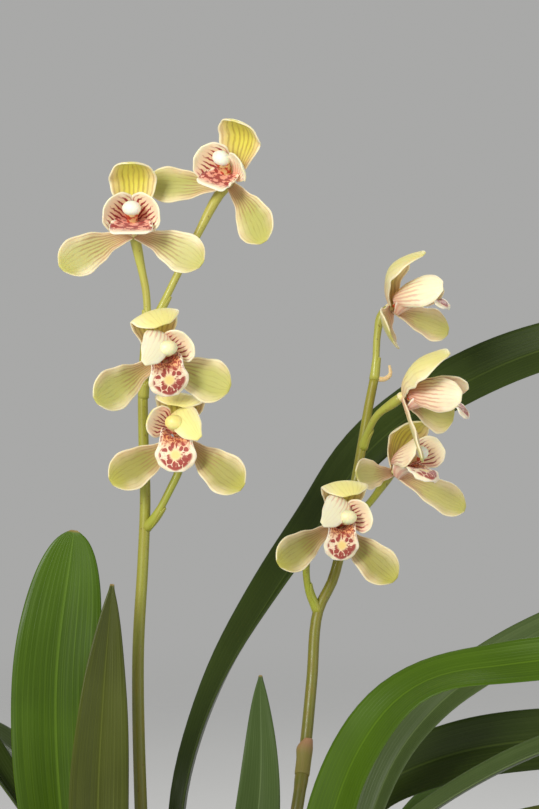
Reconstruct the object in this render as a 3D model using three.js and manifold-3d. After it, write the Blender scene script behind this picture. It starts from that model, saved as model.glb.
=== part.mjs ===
// A potted Cymbidium ensifolium: a plain tall pot filled with drainage and bark mix, a clump of
// pseudobulbs with its roots, strap leaves, and two flower spikes of four blooms each.
// Millimetres, +Z up. The origin is the centre of the pot's flat foot, and the front faces -Y.
import * as THREE from "three";
import { mergeVertices } from "three/addons/utils/BufferGeometryUtils.js";
import Module from "manifold-3d";

const wasm = await Module();
wasm.setup();

// Driving dimensions
const GAP = 0.3; // between pieces that rest on each other
const POT = {
  height: 150,
  rimRadius: 75,
  rimHeight: 15,
  neckRadius: 70,
  footRadius: 53,
  wall: 6,
  floor: 9,
  edge: 1.5,
  drains: 4,
  drainRadius: 5.5,
  drainRing: 27,
  sides: 32,
};
const DRAINAGE_TOP = 38;
const MIX = { edge: 136, crown: 143, rings: 5, sides: 20, roughness: 0.9, pebbles: 10, pebble: [4, 6] };
const BULB = { radius: 8, halfHeight: 12, middle: 141, round: 7, rows: 5 };
const BULBS = [
  [-28, -7],
  [-8, 5],
  [14, -5],
  [24, 16],
  [-6, 26],
];
const ROOT = { radius: 2.1, sides: 5, steps: 4 };
const LEAF = { rows: 12, thickness: 0.9, edge: 0.65, baseWidth: 5 };
const SCAPE = { base: 2.1, top: 1.35, sides: 6, steps: 18 };
const PEDICEL = {
  radius: [[0, 1.6], [0.14, 1.3], [0.3, 1.05], [0.6, 1.1], [0.9, 1.5], [1, 1.4]],
  sides: 6,
  steps: 5,
};
const BRACT = { radius: [[0, 1], [0.5, 0.8], [1, 0.45]], sides: 5, steps: 4 };
const TEPAL_THICKNESS = 0.75;

// Colours, by material
const paint = (color, roughness) =>
  new THREE.MeshStandardMaterial({ color, roughness, metalness: 0, side: THREE.FrontSide });
const PAINT = {
  pot: paint(0x6b4a3c, 0.75),
  drainage: paint(0xa8745a, 0.9),
  mix: paint(0x5d4433, 0.95),
  rootstock: paint(0x8b8f56, 0.7),
  leaf: paint(0x3f6b1c, 0.45),
  scape: paint(0x8f9a3c, 0.5),
  sepal: paint(0xc9cf74, 0.5),
  petal: paint(0xf2e6b8, 0.5),
  lip: paint(0xf0d2b0, 0.5),
};

// Small vector helpers
const vec = (p) => new THREE.Vector3(...p);
const mix = (a, b, t) => a + (b - a) * t;
const clamp01 = (t) => Math.min(1, Math.max(0, t));
const smooth = (t) => clamp01(t) ** 2 * (3 - 2 * clamp01(t));
const radians = THREE.MathUtils.degToRad;

// The value at t of a list spread evenly over 0 to 1, with a smooth join at each entry.
function along(list, t) {
  const place = clamp01(t) * (list.length - 1);
  const k = Math.min(list.length - 2, Math.floor(place));
  return mix(list[k], list[k + 1], smooth(place - k));
}

// The value at t of a list of [position, value] pairs.
function station(list, t) {
  const next = Math.max(1, list.findIndex(([at]) => at >= t));
  const [a, from] = list[next - 1];
  const [b, to] = list[next];
  return mix(from, to, smooth((t - a) / (b - a)));
}

// A seeded random number from 0 to 1, the same on every run.
let seed = 20;
function random() {
  seed = (seed * 1664525 + 1013904223) % 4294967296;
  return seed / 4294967296;
}

// Solids: every piece becomes one closed solid, and each union or cut is exact
function solid(geometry) {
  const bare = geometry.index ? geometry.toNonIndexed() : geometry;
  const only = new THREE.BufferGeometry().setAttribute("position", bare.attributes.position);
  const merged = mergeVertices(only, 1e-3);
  const make = (triVerts) =>
    new wasm.Manifold(
      new wasm.Mesh({ numProp: 3, vertProperties: merged.attributes.position.array, triVerts }),
    );
  const faces = new Uint32Array(merged.index.array);
  const made = make(faces);
  return made.volume() > 0 ? made : make(faces.reverse());
}

const union = (solids) => solids.reduce((sum, next) => sum.add(next));
const largest = (made) =>
  made.decompose().reduce((best, next) => (next.volume() > best.volume() ? next : best));

function meshOf(made, name, material) {
  const { numProp, vertProperties, triVerts } = largest(made).getMesh();
  const geometry = new THREE.BufferGeometry();
  geometry.setAttribute("position", new THREE.BufferAttribute(vertProperties, numProp));
  geometry.setIndex(new THREE.BufferAttribute(triVerts, 1));
  geometry.computeVertexNormals();
  const mesh = new THREE.Mesh(geometry, material);
  mesh.name = name;
  return mesh;
}

// Moves every vertex of a primitive by a formula.
function reshape(geometry, place) {
  const position = geometry.attributes.position;
  const v = new THREE.Vector3();
  for (let i = 0; i < position.count; i++) {
    v.fromBufferAttribute(position, i);
    place(v);
    position.setXYZ(i, v.x, v.y, v.z);
  }
  return geometry;
}

// A solid of revolution about Z from a profile of [radius, height] pairs.
function turned(profile, sides) {
  const points = profile.map(([r, z]) => new THREE.Vector2(r, z));
  return new THREE.LatheGeometry(points, sides).rotateX(Math.PI / 2);
}

// A stem: a cylinder carried onto a curve, with its radius from a formula.
function stem(points, radiusAt, sides, steps, extra = 0) {
  const curve = new THREE.CatmullRomCurve3(points.map(vec), false, "centripetal");
  const { normals, binormals } = curve.computeFrenetFrames(steps);
  const tube = new THREE.CylinderGeometry(1, 1, 1, sides, steps);
  return solid(
    reshape(tube, (v) => {
      const t = v.y + 0.5;
      const k = Math.round(t * steps);
      const radius = radiusAt(t) + extra;
      const { x, z } = v;
      v.copy(curve.getPointAt(clamp01(t)));
      v.addScaledVector(normals[k], x * radius).addScaledVector(binormals[k], z * radius);
    }),
  );
}

// A thin closed blade from a grid of points on its middle surface. Both faces are split into
// triangles along the same diagonals, so a waved blade keeps its thickness.
function blade(grid, thicknessAt) {
  const rows = grid.length - 1;
  const columns = grid[0].length - 1;
  const positions = [];
  const across = new THREE.Vector3();
  const down = new THREE.Vector3();
  for (const side of [0.5, -0.5]) {
    grid.forEach((row, i) =>
      row.forEach((point, j) => {
        across.subVectors(row[Math.min(columns, j + 1)], row[Math.max(0, j - 1)]);
        down.subVectors(grid[Math.min(rows, i + 1)][j], grid[Math.max(0, i - 1)][j]);
        const normal = across.cross(down).normalize();
        const lift = side * thicknessAt(i / rows, (2 * j) / columns - 1);
        positions.push(...point.clone().addScaledVector(normal, lift).toArray());
      }),
    );
  }
  const width = columns + 1;
  const under = width * (rows + 1);
  const index = [];
  const quad = (a, b, c, d) => index.push(a, b, c, a, c, d);
  for (let i = 0; i < rows; i++) {
    for (let j = 0; j < columns; j++) {
      const a = i * width + j;
      const [b, c, d] = [a + 1, a + width + 1, a + width];
      index.push(a, b, c, a, c, d);
      index.push(under + a, under + c, under + b, under + a, under + d, under + c);
    }
    const left = i * width;
    const right = left + columns;
    quad(left, left + width, under + left + width, under + left);
    quad(right, under + right, under + right + width, right + width);
  }
  for (let j = 0; j < columns; j++) {
    const tip = rows * width + j;
    quad(j, under + j, under + j + 1, j + 1);
    quad(tip, tip + 1, under + tip + 1, under + tip);
  }
  const geometry = new THREE.BufferGeometry();
  geometry.setAttribute("position", new THREE.Float32BufferAttribute(positions, 3));
  geometry.setIndex(index);
  return solid(geometry);
}

// Leaves. route is the midrib from base to tip. faces gives where the upper side looks, spread
// evenly from base to tip. fold is how far each half is raised from flat, in degrees, likewise.
const LEAVES = {
  leaf_left_round: {
    width: 25, widest: 0.62, tip: 0.5, fold: [55, 16, 6, 4], columns: 4,
    faces: [[0.3, -1, 0], [0.1, -1, 0], [0, -1, 0.1]],
    route: [[-31, -3, 147], [-34, -3, 170], [-40.5, -3, 200], [-44.5, -3, 228], [-45.5, -3, 262],
      [-40.5, -2, 303]],
  },
  leaf_left_pointed: {
    width: 17.5, widest: 0.55, tip: 0.8, fold: [55, 26, 14, 16], columns: 4,
    faces: [[0.5, -1, 0], [0.25, -1, 0], [0.2, -1, 0]],
    route: [[-27, -13, 147], [-29, -15, 170], [-32, -16, 200], [-33, -16, 225], [-31.5, -16, 258],
      [-29, -15, 289]],
  },
  leaf_tall_arch: {
    width: 20, widest: 0.62, tip: 0.8, fold: [60, 42, 32, 20, 18, 20], columns: 2, rows: 20,
    faces: [[-1, -0.45, 0], [-0.9, -0.6, 0.2], [-0.6, -0.8, 0.4], [-0.2, -0.9, 0.5], [0, -0.7, 0.8]],
    route: [[-10, 11, 148], [-10.5, 11, 185], [-10, 12, 225], [0, 27, 256], [15.3, 42, 281], [31, 58, 303],
      [43.6, 68, 322], [67.4, 75, 340], [98.4, 76, 354.5], [132, 70, 361], [166, 62, 357], [194, 54, 343]],
  },
  leaf_centre_short: {
    width: 14.5, widest: 0.55, tip: 0.75, fold: [55, 34, 20, 20], columns: 2,
    faces: [[0.2, -1, 0], [-0.2, -1, 0]],
    route: [[-4, 0, 148], [2, -3, 175], [8, -5, 205], [11.5, -6, 232], [11.5, -6, 263]],
  },
  leaf_bright_arch: {
    width: 16, widest: 0.38, tip: 0.85, fold: [50, 22, 12, 10, 14, 20], columns: 4, rows: 17,
    faces: [[-0.4, -1, 0], [-0.4, -1, 0], [-0.4, -1, 0.1], [-0.5, -0.8, 0.5], [-0.2, -0.55, 0.85],
      [0, -0.8, 0.6], [0, -0.6, 0.8], [0, -0.5, 0.9], [0, -0.4, 1]],
    route: [[17, -12, 147], [23, -17, 188], [31, -21, 226], [38.5, -26, 246], [48.5, -29, 259.5],
      [60, -31, 266], [73, -32, 268], [87, -33, 270], [118, -39, 273], [152, -46, 265], [184, -53, 247]],
  },
  leaf_right_grey: {
    width: 15, widest: 0.5, tip: 0.85, fold: [55, 30, 18, 18], columns: 2,
    faces: [[-0.8, -0.6, 0], [-0.4, -0.8, 0.6], [0, -0.7, 0.8]],
    route: [[28, 12, 147], [37, 18, 195], [50, 26, 233], [64, 30, 250], [76, 31, 259], [93, 33, 269],
      [126, 37, 281], [162, 40, 281], [194, 42, 266]],
  },
  leaf_right_dark: {
    width: 20, widest: 0.5, tip: 0.85, fold: [55, 28, 14, 14], columns: 2,
    faces: [[-0.6, -0.9, 0], [-0.2, -1, 0.3], [0, -0.9, 0.4]],
    route: [[29, 20, 147], [34, 36, 195], [44, 47, 220], [65.4, 50, 231], [95, 53, 236], [130, 58, 235],
      [164, 63, 224], [190, 66, 205]],
  },
  leaf_right_low: {
    width: 12, widest: 0.5, tip: 0.85, fold: [60, 34, 18, 18], columns: 2,
    faces: [[-0.9, -0.3, 0], [-0.5, -0.2, 0.9], [0, -0.15, 1]],
    route: [[21, 0, 147], [31, -3, 184], [43, -15, 211], [55.7, -26, 227], [86, -31, 245], [120, -40, 256],
      [156, -54, 255], [190, -72, 236]],
  },
  leaf_right_front: {
    width: 14, widest: 0.5, tip: 0.85, fold: [60, 32, 20, 20], columns: 2,
    faces: [[-0.6, 0.6, 0], [-0.4, 0.1, 1], [0, -0.2, 1]],
    route: [[13.4, -14.5, 147], [31, -35, 190], [55, -46, 218], [79, -52, 230], [108, -64, 235], [142, -82, 224],
      [170, -98, 200]],
  },
  leaf_left_back: {
    width: 13.5, widest: 0.5, tip: 0.85, fold: [60, 36, 20, 20], columns: 2,
    faces: [[1, -0.3, 0], [0.7, -0.6, 0.5], [0.2, -0.5, 0.9]],
    route: [[-33.4, 0.4, 147], [-44, 9, 184], [-54, 15, 216], [-63, 17, 229.5], [-84, 21, 258], [-118, 27, 276],
      [-156, 31, 272], [-190, 34, 246]],
  },
  leaf_left_front: {
    width: 14, widest: 0.5, tip: 0.85, fold: [60, 34, 20, 20], columns: 2,
    faces: [[0.7, 0.7, 0], [0.4, 0.4, 1], [0, 0, 1]],
    route: [[-32, -12.3, 147], [-47, -32, 183], [-78, -66, 212], [-112, -98, 216], [-142, -124, 196]],
  },
  leaf_front: {
    width: 14, widest: 0.5, tip: 0.85, fold: [60, 34, 20, 20], columns: 2,
    faces: [[0, 1, 0], [-0.1, 0.5, 1], [0, 0, 1]],
    route: [[8.8, -9.8, 147], [12, -42, 186], [18, -82, 211], [26, -118, 211], [34, -148, 190]],
  },
  leaf_back_left: {
    width: 15, widest: 0.5, tip: 0.85, fold: [60, 34, 20, 20], columns: 2,
    faces: [[0.6, -0.7, 0], [0.4, -0.4, 1], [0, 0, 1]],
    route: [[-15, 11, 147], [-38, 50, 194], [-72, 96, 228], [-108, 132, 233], [-136, 158, 212]],
  },
  leaf_back: {
    width: 13, widest: 0.5, tip: 0.85, fold: [60, 34, 20, 20], columns: 2,
    faces: [[0, -1, 0], [0, -0.4, 1], [0, 0, 1]],
    route: [[-6, 33, 147], [0, 64, 186], [8, 104, 200], [18, 142, 194], [26, 170, 172]],
  },
  leaf_back_right: {
    width: 14, widest: 0.5, tip: 0.85, fold: [60, 34, 20, 20], columns: 2,
    faces: [[-0.7, -0.7, 0], [-0.4, -0.4, 1], [0, 0, 1]],
    route: [[26, 22, 148], [48, 60, 194], [86, 104, 222], [124, 138, 222], [154, 162, 198]],
  },
};

// How wide a leaf is at u, as a share of its full width.
function leafOutline(u, { width, widest, tip }) {
  const base = LEAF.baseWidth / width;
  if (u < widest) return mix(base, 1, Math.sin((Math.PI / 2) * (u / widest)) ** 1.5);
  const past = (u - widest) / (1 - widest);
  return Math.max(0.07, (1 - past ** (tip > 0.6 ? 1.9 : 3.2)) ** tip);
}

function leaf(shape) {
  const rows = shape.rows ?? LEAF.rows;
  const curve = new THREE.CatmullRomCurve3(shape.route.map(vec), false, "centripetal");
  const grid = [];
  for (let i = 0; i <= rows; i++) {
    const u = 1 - (1 - i / rows) ** 1.25;
    const centre = curve.getPointAt(u);
    const ahead = curve.getTangentAt(u);
    const look = vec([0, 1, 2].map((k) => along(shape.faces.map((f) => f[k]), u)));
    const across = ahead.clone().cross(look).normalize();
    const up = across.clone().cross(ahead).normalize();
    const half = (shape.width / 2) * leafOutline(u, shape);
    const fold = radians(along(shape.fold, u));
    const row = [];
    for (let j = 0; j <= shape.columns; j++) {
      const v = (2 * j) / shape.columns - 1;
      row.push(
        centre
          .clone()
          .addScaledVector(across, half * v * Math.cos(fold))
          .addScaledVector(up, half * Math.abs(v) * Math.sin(fold)),
      );
    }
    grid.push(row);
  }
  return blade(grid, (u, v) => mix(LEAF.thickness, LEAF.edge, Math.abs(v)));
}

// Blooms. In a bloom's own frame +X is the viewer's right, +Z is up and -Y is forward.
// turn is where a part points round the bloom's axis, from +X towards +Z, and sweep bends that
// towards the tip. lean is how far the part tips forward out of the bloom's plane along its
// length, half its half-width, cup how far its edges are raised, as a share of the half-width.
const SEPAL_HALF = [[0, 1.5], [0.25, 2.6], [0.5, 4.8], [0.74, 6], [0.9, 4.8], [1, 1]];
const PETAL_HALF = [[0, 1.2], [0.25, 3.3], [0.55, 4.8], [0.82, 3.9], [1, 0.9]];
const PETAL = {
  lean: [[0, 22], [0.5, 46], [1, 66]], length: 14.6, sweep: 0, half: PETAL_HALF,
  cup: [[0, 0.4], [0.5, 0.5], [1, 0.2]], rows: 4, columns: 3,
};
const SEPAL = {
  lean: [[0, 14], [0.6, 20], [1, 24]], length: 23, sweep: 0, half: SEPAL_HALF,
  cup: [[0, 0.5], [0.4, 0.3], [1, 0.12]], rows: 5, columns: 3,
};
const ORGANS = {
  dorsal: {
    ...SEPAL, turn: 90, from: [0, -0.4, 0.6], length: 25, rows: 6,
    lean: [[0, -4], [0.35, 22], [0.7, 72], [1, 104]],
    half: [[0, 1.8], [0.22, 4.3], [0.48, 6.8], [0.7, 7.4], [0.88, 5.6], [1, 0.8]],
    cup: [[0, 0.7], [0.35, 0.6], [0.7, 0.4], [1, 0.1]],
  },
  left: { ...SEPAL, turn: 212, from: [-0.6, -0.4, -0.4] },
  right: { ...SEPAL, turn: -32, from: [0.6, -0.4, -0.4] },
  petalLeft: { ...PETAL, turn: 126, sweep: -30, from: [-1.6, -2.7, 0.7] },
  petalRight: { ...PETAL, turn: 54, sweep: 30, from: [1.6, -2.7, 0.7] },
  lip: {
    turn: -90, from: [0, -2.3, -2.5], length: 15.2, sweep: 0, rows: 7, columns: 4,
    lean: [[0, 110], [0.28, 102], [0.44, 44], [0.58, 6], [1, -20]],
    half: [[0, 1.5], [0.14, 3.4], [0.34, 4.6], [0.46, 4.5], [0.7, 5.9], [0.88, 5], [1, 2.2]],
    cup: [[0, 0.6], [0.2, 0.9], [0.4, 0.5], [0.56, 0.05], [1, -0.3]],
  },
};
const CLASPED = { lean: [[0, 30], [0.5, 60], [1, 88]], length: 14.5 };
const REACHING = {
  lean: [[0, 46], [0.5, 64], [1, 82]],
  length: 17.8,
  half: [[0, 1.3], [0.25, 3.8], [0.55, 5.4], [0.82, 4.5], [1, 1]],
};
const LIP_FORWARD = {
  length: 18.5,
  lean: [[0, 110], [0.35, 104], [0.7, 86], [1, 20]],
  cup: [[0, 0.6], [0.2, 0.85], [0.45, 0.45], [0.7, 0.1], [1, -0.2]],
};
const COLUMN = {
  rise: 50, length: 10.5, arch: -24, start: 2.05, sides: 6, steps: 4,
  radius: [[0, 1.5], [0.5, 1.5], [0.75, 2.7], [1, 2.2]],
};
const RECEPTACLE = { radius: 1.7, sides: 6, rows: 4 };

// The two spikes: the route of the main axis, and each bloom's place, aim and pedicel.
const SPIKES = {
  left: {
    axis: [[-18, -3, 133], [-19, -3, 165], [-21.5, -2.5, 215], [-22.7, -2, 266.7], [-21.3, -2, 294.6],
      [-20.7, -2, 311.3], [-21.2, -2, 329.2], [-21.3, -2, 344.6], [-20.5, -1, 357.4]],
    sheaths: [[0.02, 0.17], [0.2, 0.33]],
    bract: [[-21, -1.5, 343.6], [-22.6, -1, 344.4], [-23.8, -0.6, 346.4], [-23.4, -0.6, 348.6]],
    blooms: {
      bloom_left_1: {
        at: [-24.5, -5, 385.6], yaw: 0, pitch: 4, roll: 0,
        stalk: [[-20.5, -1, 355], [-20.2, -1, 364.4], [-20.6, -1, 370], [-22, -1.5, 377], [-23.6, -2.5, 382]],
        organs: {
          dorsal: { lean: [[0, -14], [0.4, 6], [0.75, 64], [1, 112]], length: 26 },
          left: { turn: 195, sweep: 24 },
          right: { turn: -12, sweep: -24 },
          lip: LIP_FORWARD,
        },
      },
      bloom_left_2: {
        at: [3, -4, 399.5], yaw: -18, pitch: 0, roll: 27,
        stalk: [[-20.4, -1, 354], [-18.9, 0, 359.4], [-13.3, 1, 371.5], [-6.3, 1, 385.5], [0, 0, 397]],
        organs: {
          left: { turn: 208, sweep: -10 },
          right: { turn: -18, sweep: -22, length: 22 },
          petalLeft: { turn: 134, sweep: -20 },
          lip: LIP_FORWARD,
        },
      },
      bloom_left_3: {
        at: [-18, -14, 350.2], yaw: 18, pitch: 0, roll: -8,
        stalk: [[-21.2, -2, 340], [-20.6, -4, 345.5], [-19.2, -9, 349.2]],
        organs: {
          dorsal: { lean: [[0, -4], [0.35, 22], [0.7, 80], [1, 108]], sweep: -14 },
          left: { turn: 208, length: 22.5 },
          right: { turn: -27, length: 21.5 },
          petalLeft: { ...CLASPED, lean: [[0, 30], [0.5, 66], [1, 104]], length: 15.5 },
          petalRight: CLASPED,
        },
      },
      bloom_left_4: {
        at: [-10.4, -8, 328.2], yaw: -6, pitch: 6, roll: 1,
        stalk: [[-20.5, -2, 303.5], [-17.6, -4.5, 307], [-13.7, -5.5, 314.2], [-11, -5, 320.3],
          [-10.5, -6, 326]],
        organs: {
          dorsal: { turn: 80, lean: [[0, 4], [0.35, 46], [0.7, 92], [1, 114]], length: 23 },
          left: { turn: 215, length: 22 },
          right: { turn: -39, length: 23.5 },
          petalLeft: CLASPED,
          petalRight: CLASPED,
        },
      },
    },
  },
  right: {
    axis: [[8, 8, 133], [11.5, 11, 165], [17, 16, 197], [21.9, 20, 221], [24.4, 28, 237], [26.5, 34, 256.7],
      [28.4, 40, 276.2], [33, 42, 285.9], [36.6, 44, 300.4], [40.3, 46, 317.4], [41.8, 46, 325.8],
      [43.6, 46, 336.3], [45.7, 46, 346.9]],
    sheaths: [[0.02, 0.16], [0.2, 0.36], [0.43, 0.5]],
    bract: [[45.3, 46, 346], [48.4, 46, 345.6], [50.3, 46, 347], [50, 46, 349.8]],
    blooms: {
      bloom_right_1: {
        at: [50, 46, 367], yaw: 60, pitch: 7, roll: 0,
        stalk: [[45.5, 46, 345.5], [46, 46, 352], [46.4, 46, 359], [47.6, 46, 364.5]],
        organs: {
          dorsal: { lean: [[0, -6], [0.35, 26], [0.7, 82], [1, 106]] },
          lip: LIP_FORWARD,
          left: { turn: 210, lean: [[0, -4], [1, 44]], length: 20 },
          right: { turn: -32, lean: [[0, 30], [1, 46]], length: 19.5 },
          petalLeft: { ...REACHING, turn: 146, sweep: -10 },
          petalRight: { ...REACHING, turn: 40, sweep: 10 },
        },
      },
      bloom_right_2: {
        at: [52.8, 32, 340.2], yaw: 70, pitch: -12, roll: 0,
        stalk: [[42, 46, 325], [43.2, 43.5, 329], [46, 38, 334.8], [50.7, 33.4, 338.6]],
        organs: {
          dorsal: { lean: [[0, 6], [0.35, 30], [0.7, 70], [1, 96]], length: 23.5 },
          left: { turn: 236, lean: [[0, 30], [1, 38]] },
          right: { turn: -34, length: 19 },
          lip: LIP_FORWARD,
          petalLeft: { ...REACHING, turn: 146, sweep: -10 },
          petalRight: { ...REACHING, turn: 40, sweep: 10 },
        },
      },
      bloom_right_3: {
        at: [51.4, 56, 317.4], yaw: 40, pitch: 14, roll: 4,
        stalk: [[36.8, 44, 301], [41, 47.5, 305], [45.5, 52, 309.6], [49.4, 55.4, 314.8]],
        organs: {
          dorsal: { lean: [[0, 0], [0.35, 35], [0.7, 80], [1, 108]], length: 23 },
          left: { turn: 192 },
          right: { turn: -31, length: 25 },
          petalLeft: CLASPED,
          petalRight: { turn: 44, sweep: 10, lean: [[0, 26], [0.5, 50], [1, 66]] },
          lip: { lean: [[0, 106], [0.35, 94], [0.7, 60], [1, 10]], length: 17 },
        },
      },
      bloom_right_4: {
        at: [32.8, 30, 302.6], yaw: 14, pitch: 2, roll: 3,
        stalk: [[28.5, 40, 276], [25.6, 38.5, 283], [24.9, 36.5, 290.5], [26.3, 34.5, 297],
          [30.5, 32, 301.4]],
        organs: {
          dorsal: { lean: [[0, 0], [0.35, 35], [0.7, 80], [1, 108]], length: 24 },
          left: { turn: 213, length: 23 },
          right: { turn: -39, length: 24 },
          petalLeft: CLASPED,
          petalRight: CLASPED,
        },
      },
    },
  },
};

// A sepal, petal or lip, in the bloom's own frame.
function organ({ turn, sweep, lean, length, from, half, cup, rows, columns }, extra = 0) {
  const forward = new THREE.Vector3(0, -1, 0);
  const outward = (u) => {
    const angle = radians(turn + sweep * u);
    return vec([Math.cos(angle), 0, Math.sin(angle)]);
  };
  const ahead = (u) => {
    const tip = radians(station(lean, u));
    return outward(u).multiplyScalar(Math.cos(tip)).addScaledVector(forward, Math.sin(tip));
  };
  const fine = 8;
  const centre = vec(from);
  const grid = [];
  for (let i = 0; i <= rows; i++) {
    const u = i / rows;
    for (let k = 0; i > 0 && k < fine; k++) {
      centre.addScaledVector(ahead((i - 1 + (k + 0.5) / fine) / rows), length / rows / fine);
    }
    const across = outward(u).cross(forward);
    const up = across.clone().cross(ahead(u)).normalize();
    const reach = station(half, u) + extra;
    const raised = station(half, u) * station(cup, u);
    const row = [];
    for (let j = 0; j <= columns; j++) {
      const v = (2 * j) / columns - 1;
      row.push(centre.clone().addScaledVector(across, reach * v).addScaledVector(up, raised * v * v));
    }
    grid.push(row);
  }
  return blade(grid, () => TEPAL_THICKNESS + 2 * extra);
}

// The column: it rises forward over the lip and ends in the broad anther cap.
function column(extra = 0) {
  const points = [];
  for (let i = 0; i <= 4; i++) {
    const t = i / 4;
    const rise = radians(COLUMN.rise + COLUMN.arch * t * 0.5);
    const reach = COLUMN.length * t;
    points.push([0, -COLUMN.start - reach * Math.cos(rise), reach * Math.sin(rise)]);
  }
  return stem(points, (t) => station(COLUMN.radius, t), COLUMN.sides, COLUMN.steps, extra);
}

// A bloom's frame in the part's frame.
function placement({ at, yaw, pitch, roll }) {
  return new THREE.Matrix4()
    .makeTranslation(...at)
    .multiply(new THREE.Matrix4().makeRotationZ(radians(yaw)))
    .multiply(new THREE.Matrix4().makeRotationX(radians(-pitch)))
    .multiply(new THREE.Matrix4().makeRotationY(radians(roll)));
}

function bloomSolids({ organs, ...aim }) {
  const made = (key, extra) => organ({ ...ORGANS[key], ...organs[key] }, extra);
  const { radius, sides, rows } = RECEPTACLE;
  const seat = (extra) => solid(new THREE.SphereGeometry(radius + extra, sides, rows));
  const ring = (keys, extra) => union(keys.map((key) => made(key, extra)));
  const outer = (extra) => seat(extra).add(ring(["dorsal", "left", "right"], extra));
  const inner = (extra) => column(extra).add(ring(["petalLeft", "petalRight"], extra));
  const frame = placement(aim).elements;
  const placed = (shape) => shape.transform([...frame]);
  return {
    sepals: placed(outer(0)),
    petals: placed(inner(0).subtract(outer(GAP))),
    lip: placed(made("lip", 0).subtract(inner(GAP)).subtract(outer(GAP))),
    clearance: placed(outer(GAP)),
  };
}

// A spike: the tapering axis with its sheaths and the pedicels, all in one piece.
function spikeSolid({ axis, sheaths, bract, blooms }) {
  const radiusAt = (t) => {
    const sheath = sheaths.find(([from, to]) => t >= from - 0.01 && t <= to + 0.01);
    const swell = sheath ? 0.75 * (1 - 0.6 * clamp01((t - sheath[0]) / (sheath[1] - sheath[0]))) : 0;
    return mix(SCAPE.base, SCAPE.top, t) + swell;
  };
  const branch = (route, { radius, sides, steps }) => stem(route, (t) => station(radius, t), sides, steps);
  return union([
    stem(axis, radiusAt, SCAPE.sides, SCAPE.steps),
    branch(bract, BRACT),
    ...Object.values(blooms).map(({ stalk, at }) => branch([...stalk, at], PEDICEL)),
  ]);
}

// The clump of pseudobulbs, joined by the rhizome, with its thick roots.
const ROOTS = [
  [[-28, -7, 134], [-36, -12, 112], [-42, -20, 84], [-38, -28, 56]],
  [[-28, -7, 134], [-27, 2, 108], [-34, 14, 78], [-30, 22, 50]],
  [[-8, 5, 134], [-10, -4, 106], [-4, -14, 76], [-8, -24, 48]],
  [[14, -5, 134], [24, -14, 108], [30, -24, 80], [24, -34, 54]],
  [[24, 16, 134], [36, 18, 110], [42, 12, 82], [38, 2, 54]],
  [[24, 16, 134], [24, 30, 106], [16, 38, 78], [22, 30, 50]],
  [[-6, 26, 134], [-14, 36, 108], [-22, 38, 82], [-14, 32, 52]],
];
const RHIZOME = [[-28, -7, 136], [-8, 5, 135], [14, -5, 136], [24, 16, 135], [-6, 26, 136]];

function bulbSolid([x, y], extra = 0) {
  const ball = new THREE.SphereGeometry(1, BULB.round, BULB.rows).rotateX(Math.PI / 2);
  ball.scale(BULB.radius + extra, BULB.radius + extra, BULB.halfHeight + extra);
  return solid(ball).translate([x, y, BULB.middle]);
}

function rootstockSolid(extra = 0) {
  const bulbs = BULBS.map((at) => bulbSolid(at, extra));
  const links = RHIZOME.slice(1).map((to, k) => stem([RHIZOME[k], to], () => 4, 5, 1, extra));
  const thread = (t) => ROOT.radius * mix(1, 0.7, t);
  const roots = ROOTS.map((route) => stem(route, thread, ROOT.sides, ROOT.steps, extra));
  return union([...bulbs, ...links, ...roots]);
}

// The pot and what fills it
const potInside = (z) =>
  mix(POT.footRadius, POT.neckRadius, (z - POT.floor) / (POT.height - POT.rimHeight - POT.floor)) - POT.wall;

function potSolid() {
  const { height, rimRadius, rimHeight, neckRadius, footRadius, edge, floor, drainRadius } = POT;
  const inside = potInside(height);
  const body = solid(
    turned(
      [
        [0, 0], [footRadius - edge, 0], [footRadius, edge], [neckRadius, height - rimHeight],
        [rimRadius - edge, height - rimHeight + edge], [rimRadius, height - rimHeight + 2 * edge],
        [rimRadius, height - 2 * edge], [rimRadius - edge, height - edge / 3], [rimRadius - 2 * edge, height],
        [inside + edge, height], [inside, height - edge], [potInside(floor), floor], [0, floor],
      ],
      POT.sides,
    ),
  );
  const drill = new THREE.CylinderGeometry(drainRadius, drainRadius, 4 * floor, 14).rotateX(Math.PI / 2);
  const holes = [...Array(POT.drains).keys()].map((k) => {
    const angle = ((k + 0.5) * 2 * Math.PI) / POT.drains;
    return solid(drill).translate([POT.drainRing * Math.cos(angle), POT.drainRing * Math.sin(angle), 0]);
  });
  return body.subtract(union(holes));
}

function drainageSolid() {
  const low = POT.floor + GAP;
  const high = DRAINAGE_TOP;
  const profile = [[0, low], [potInside(low) - GAP, low], [potInside(high) - GAP, high], [0, high]];
  return solid(turned(profile, POT.sides));
}

const mixHeight = (r) => mix(MIX.crown, MIX.edge, smooth(r / potInside(MIX.edge)));

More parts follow.
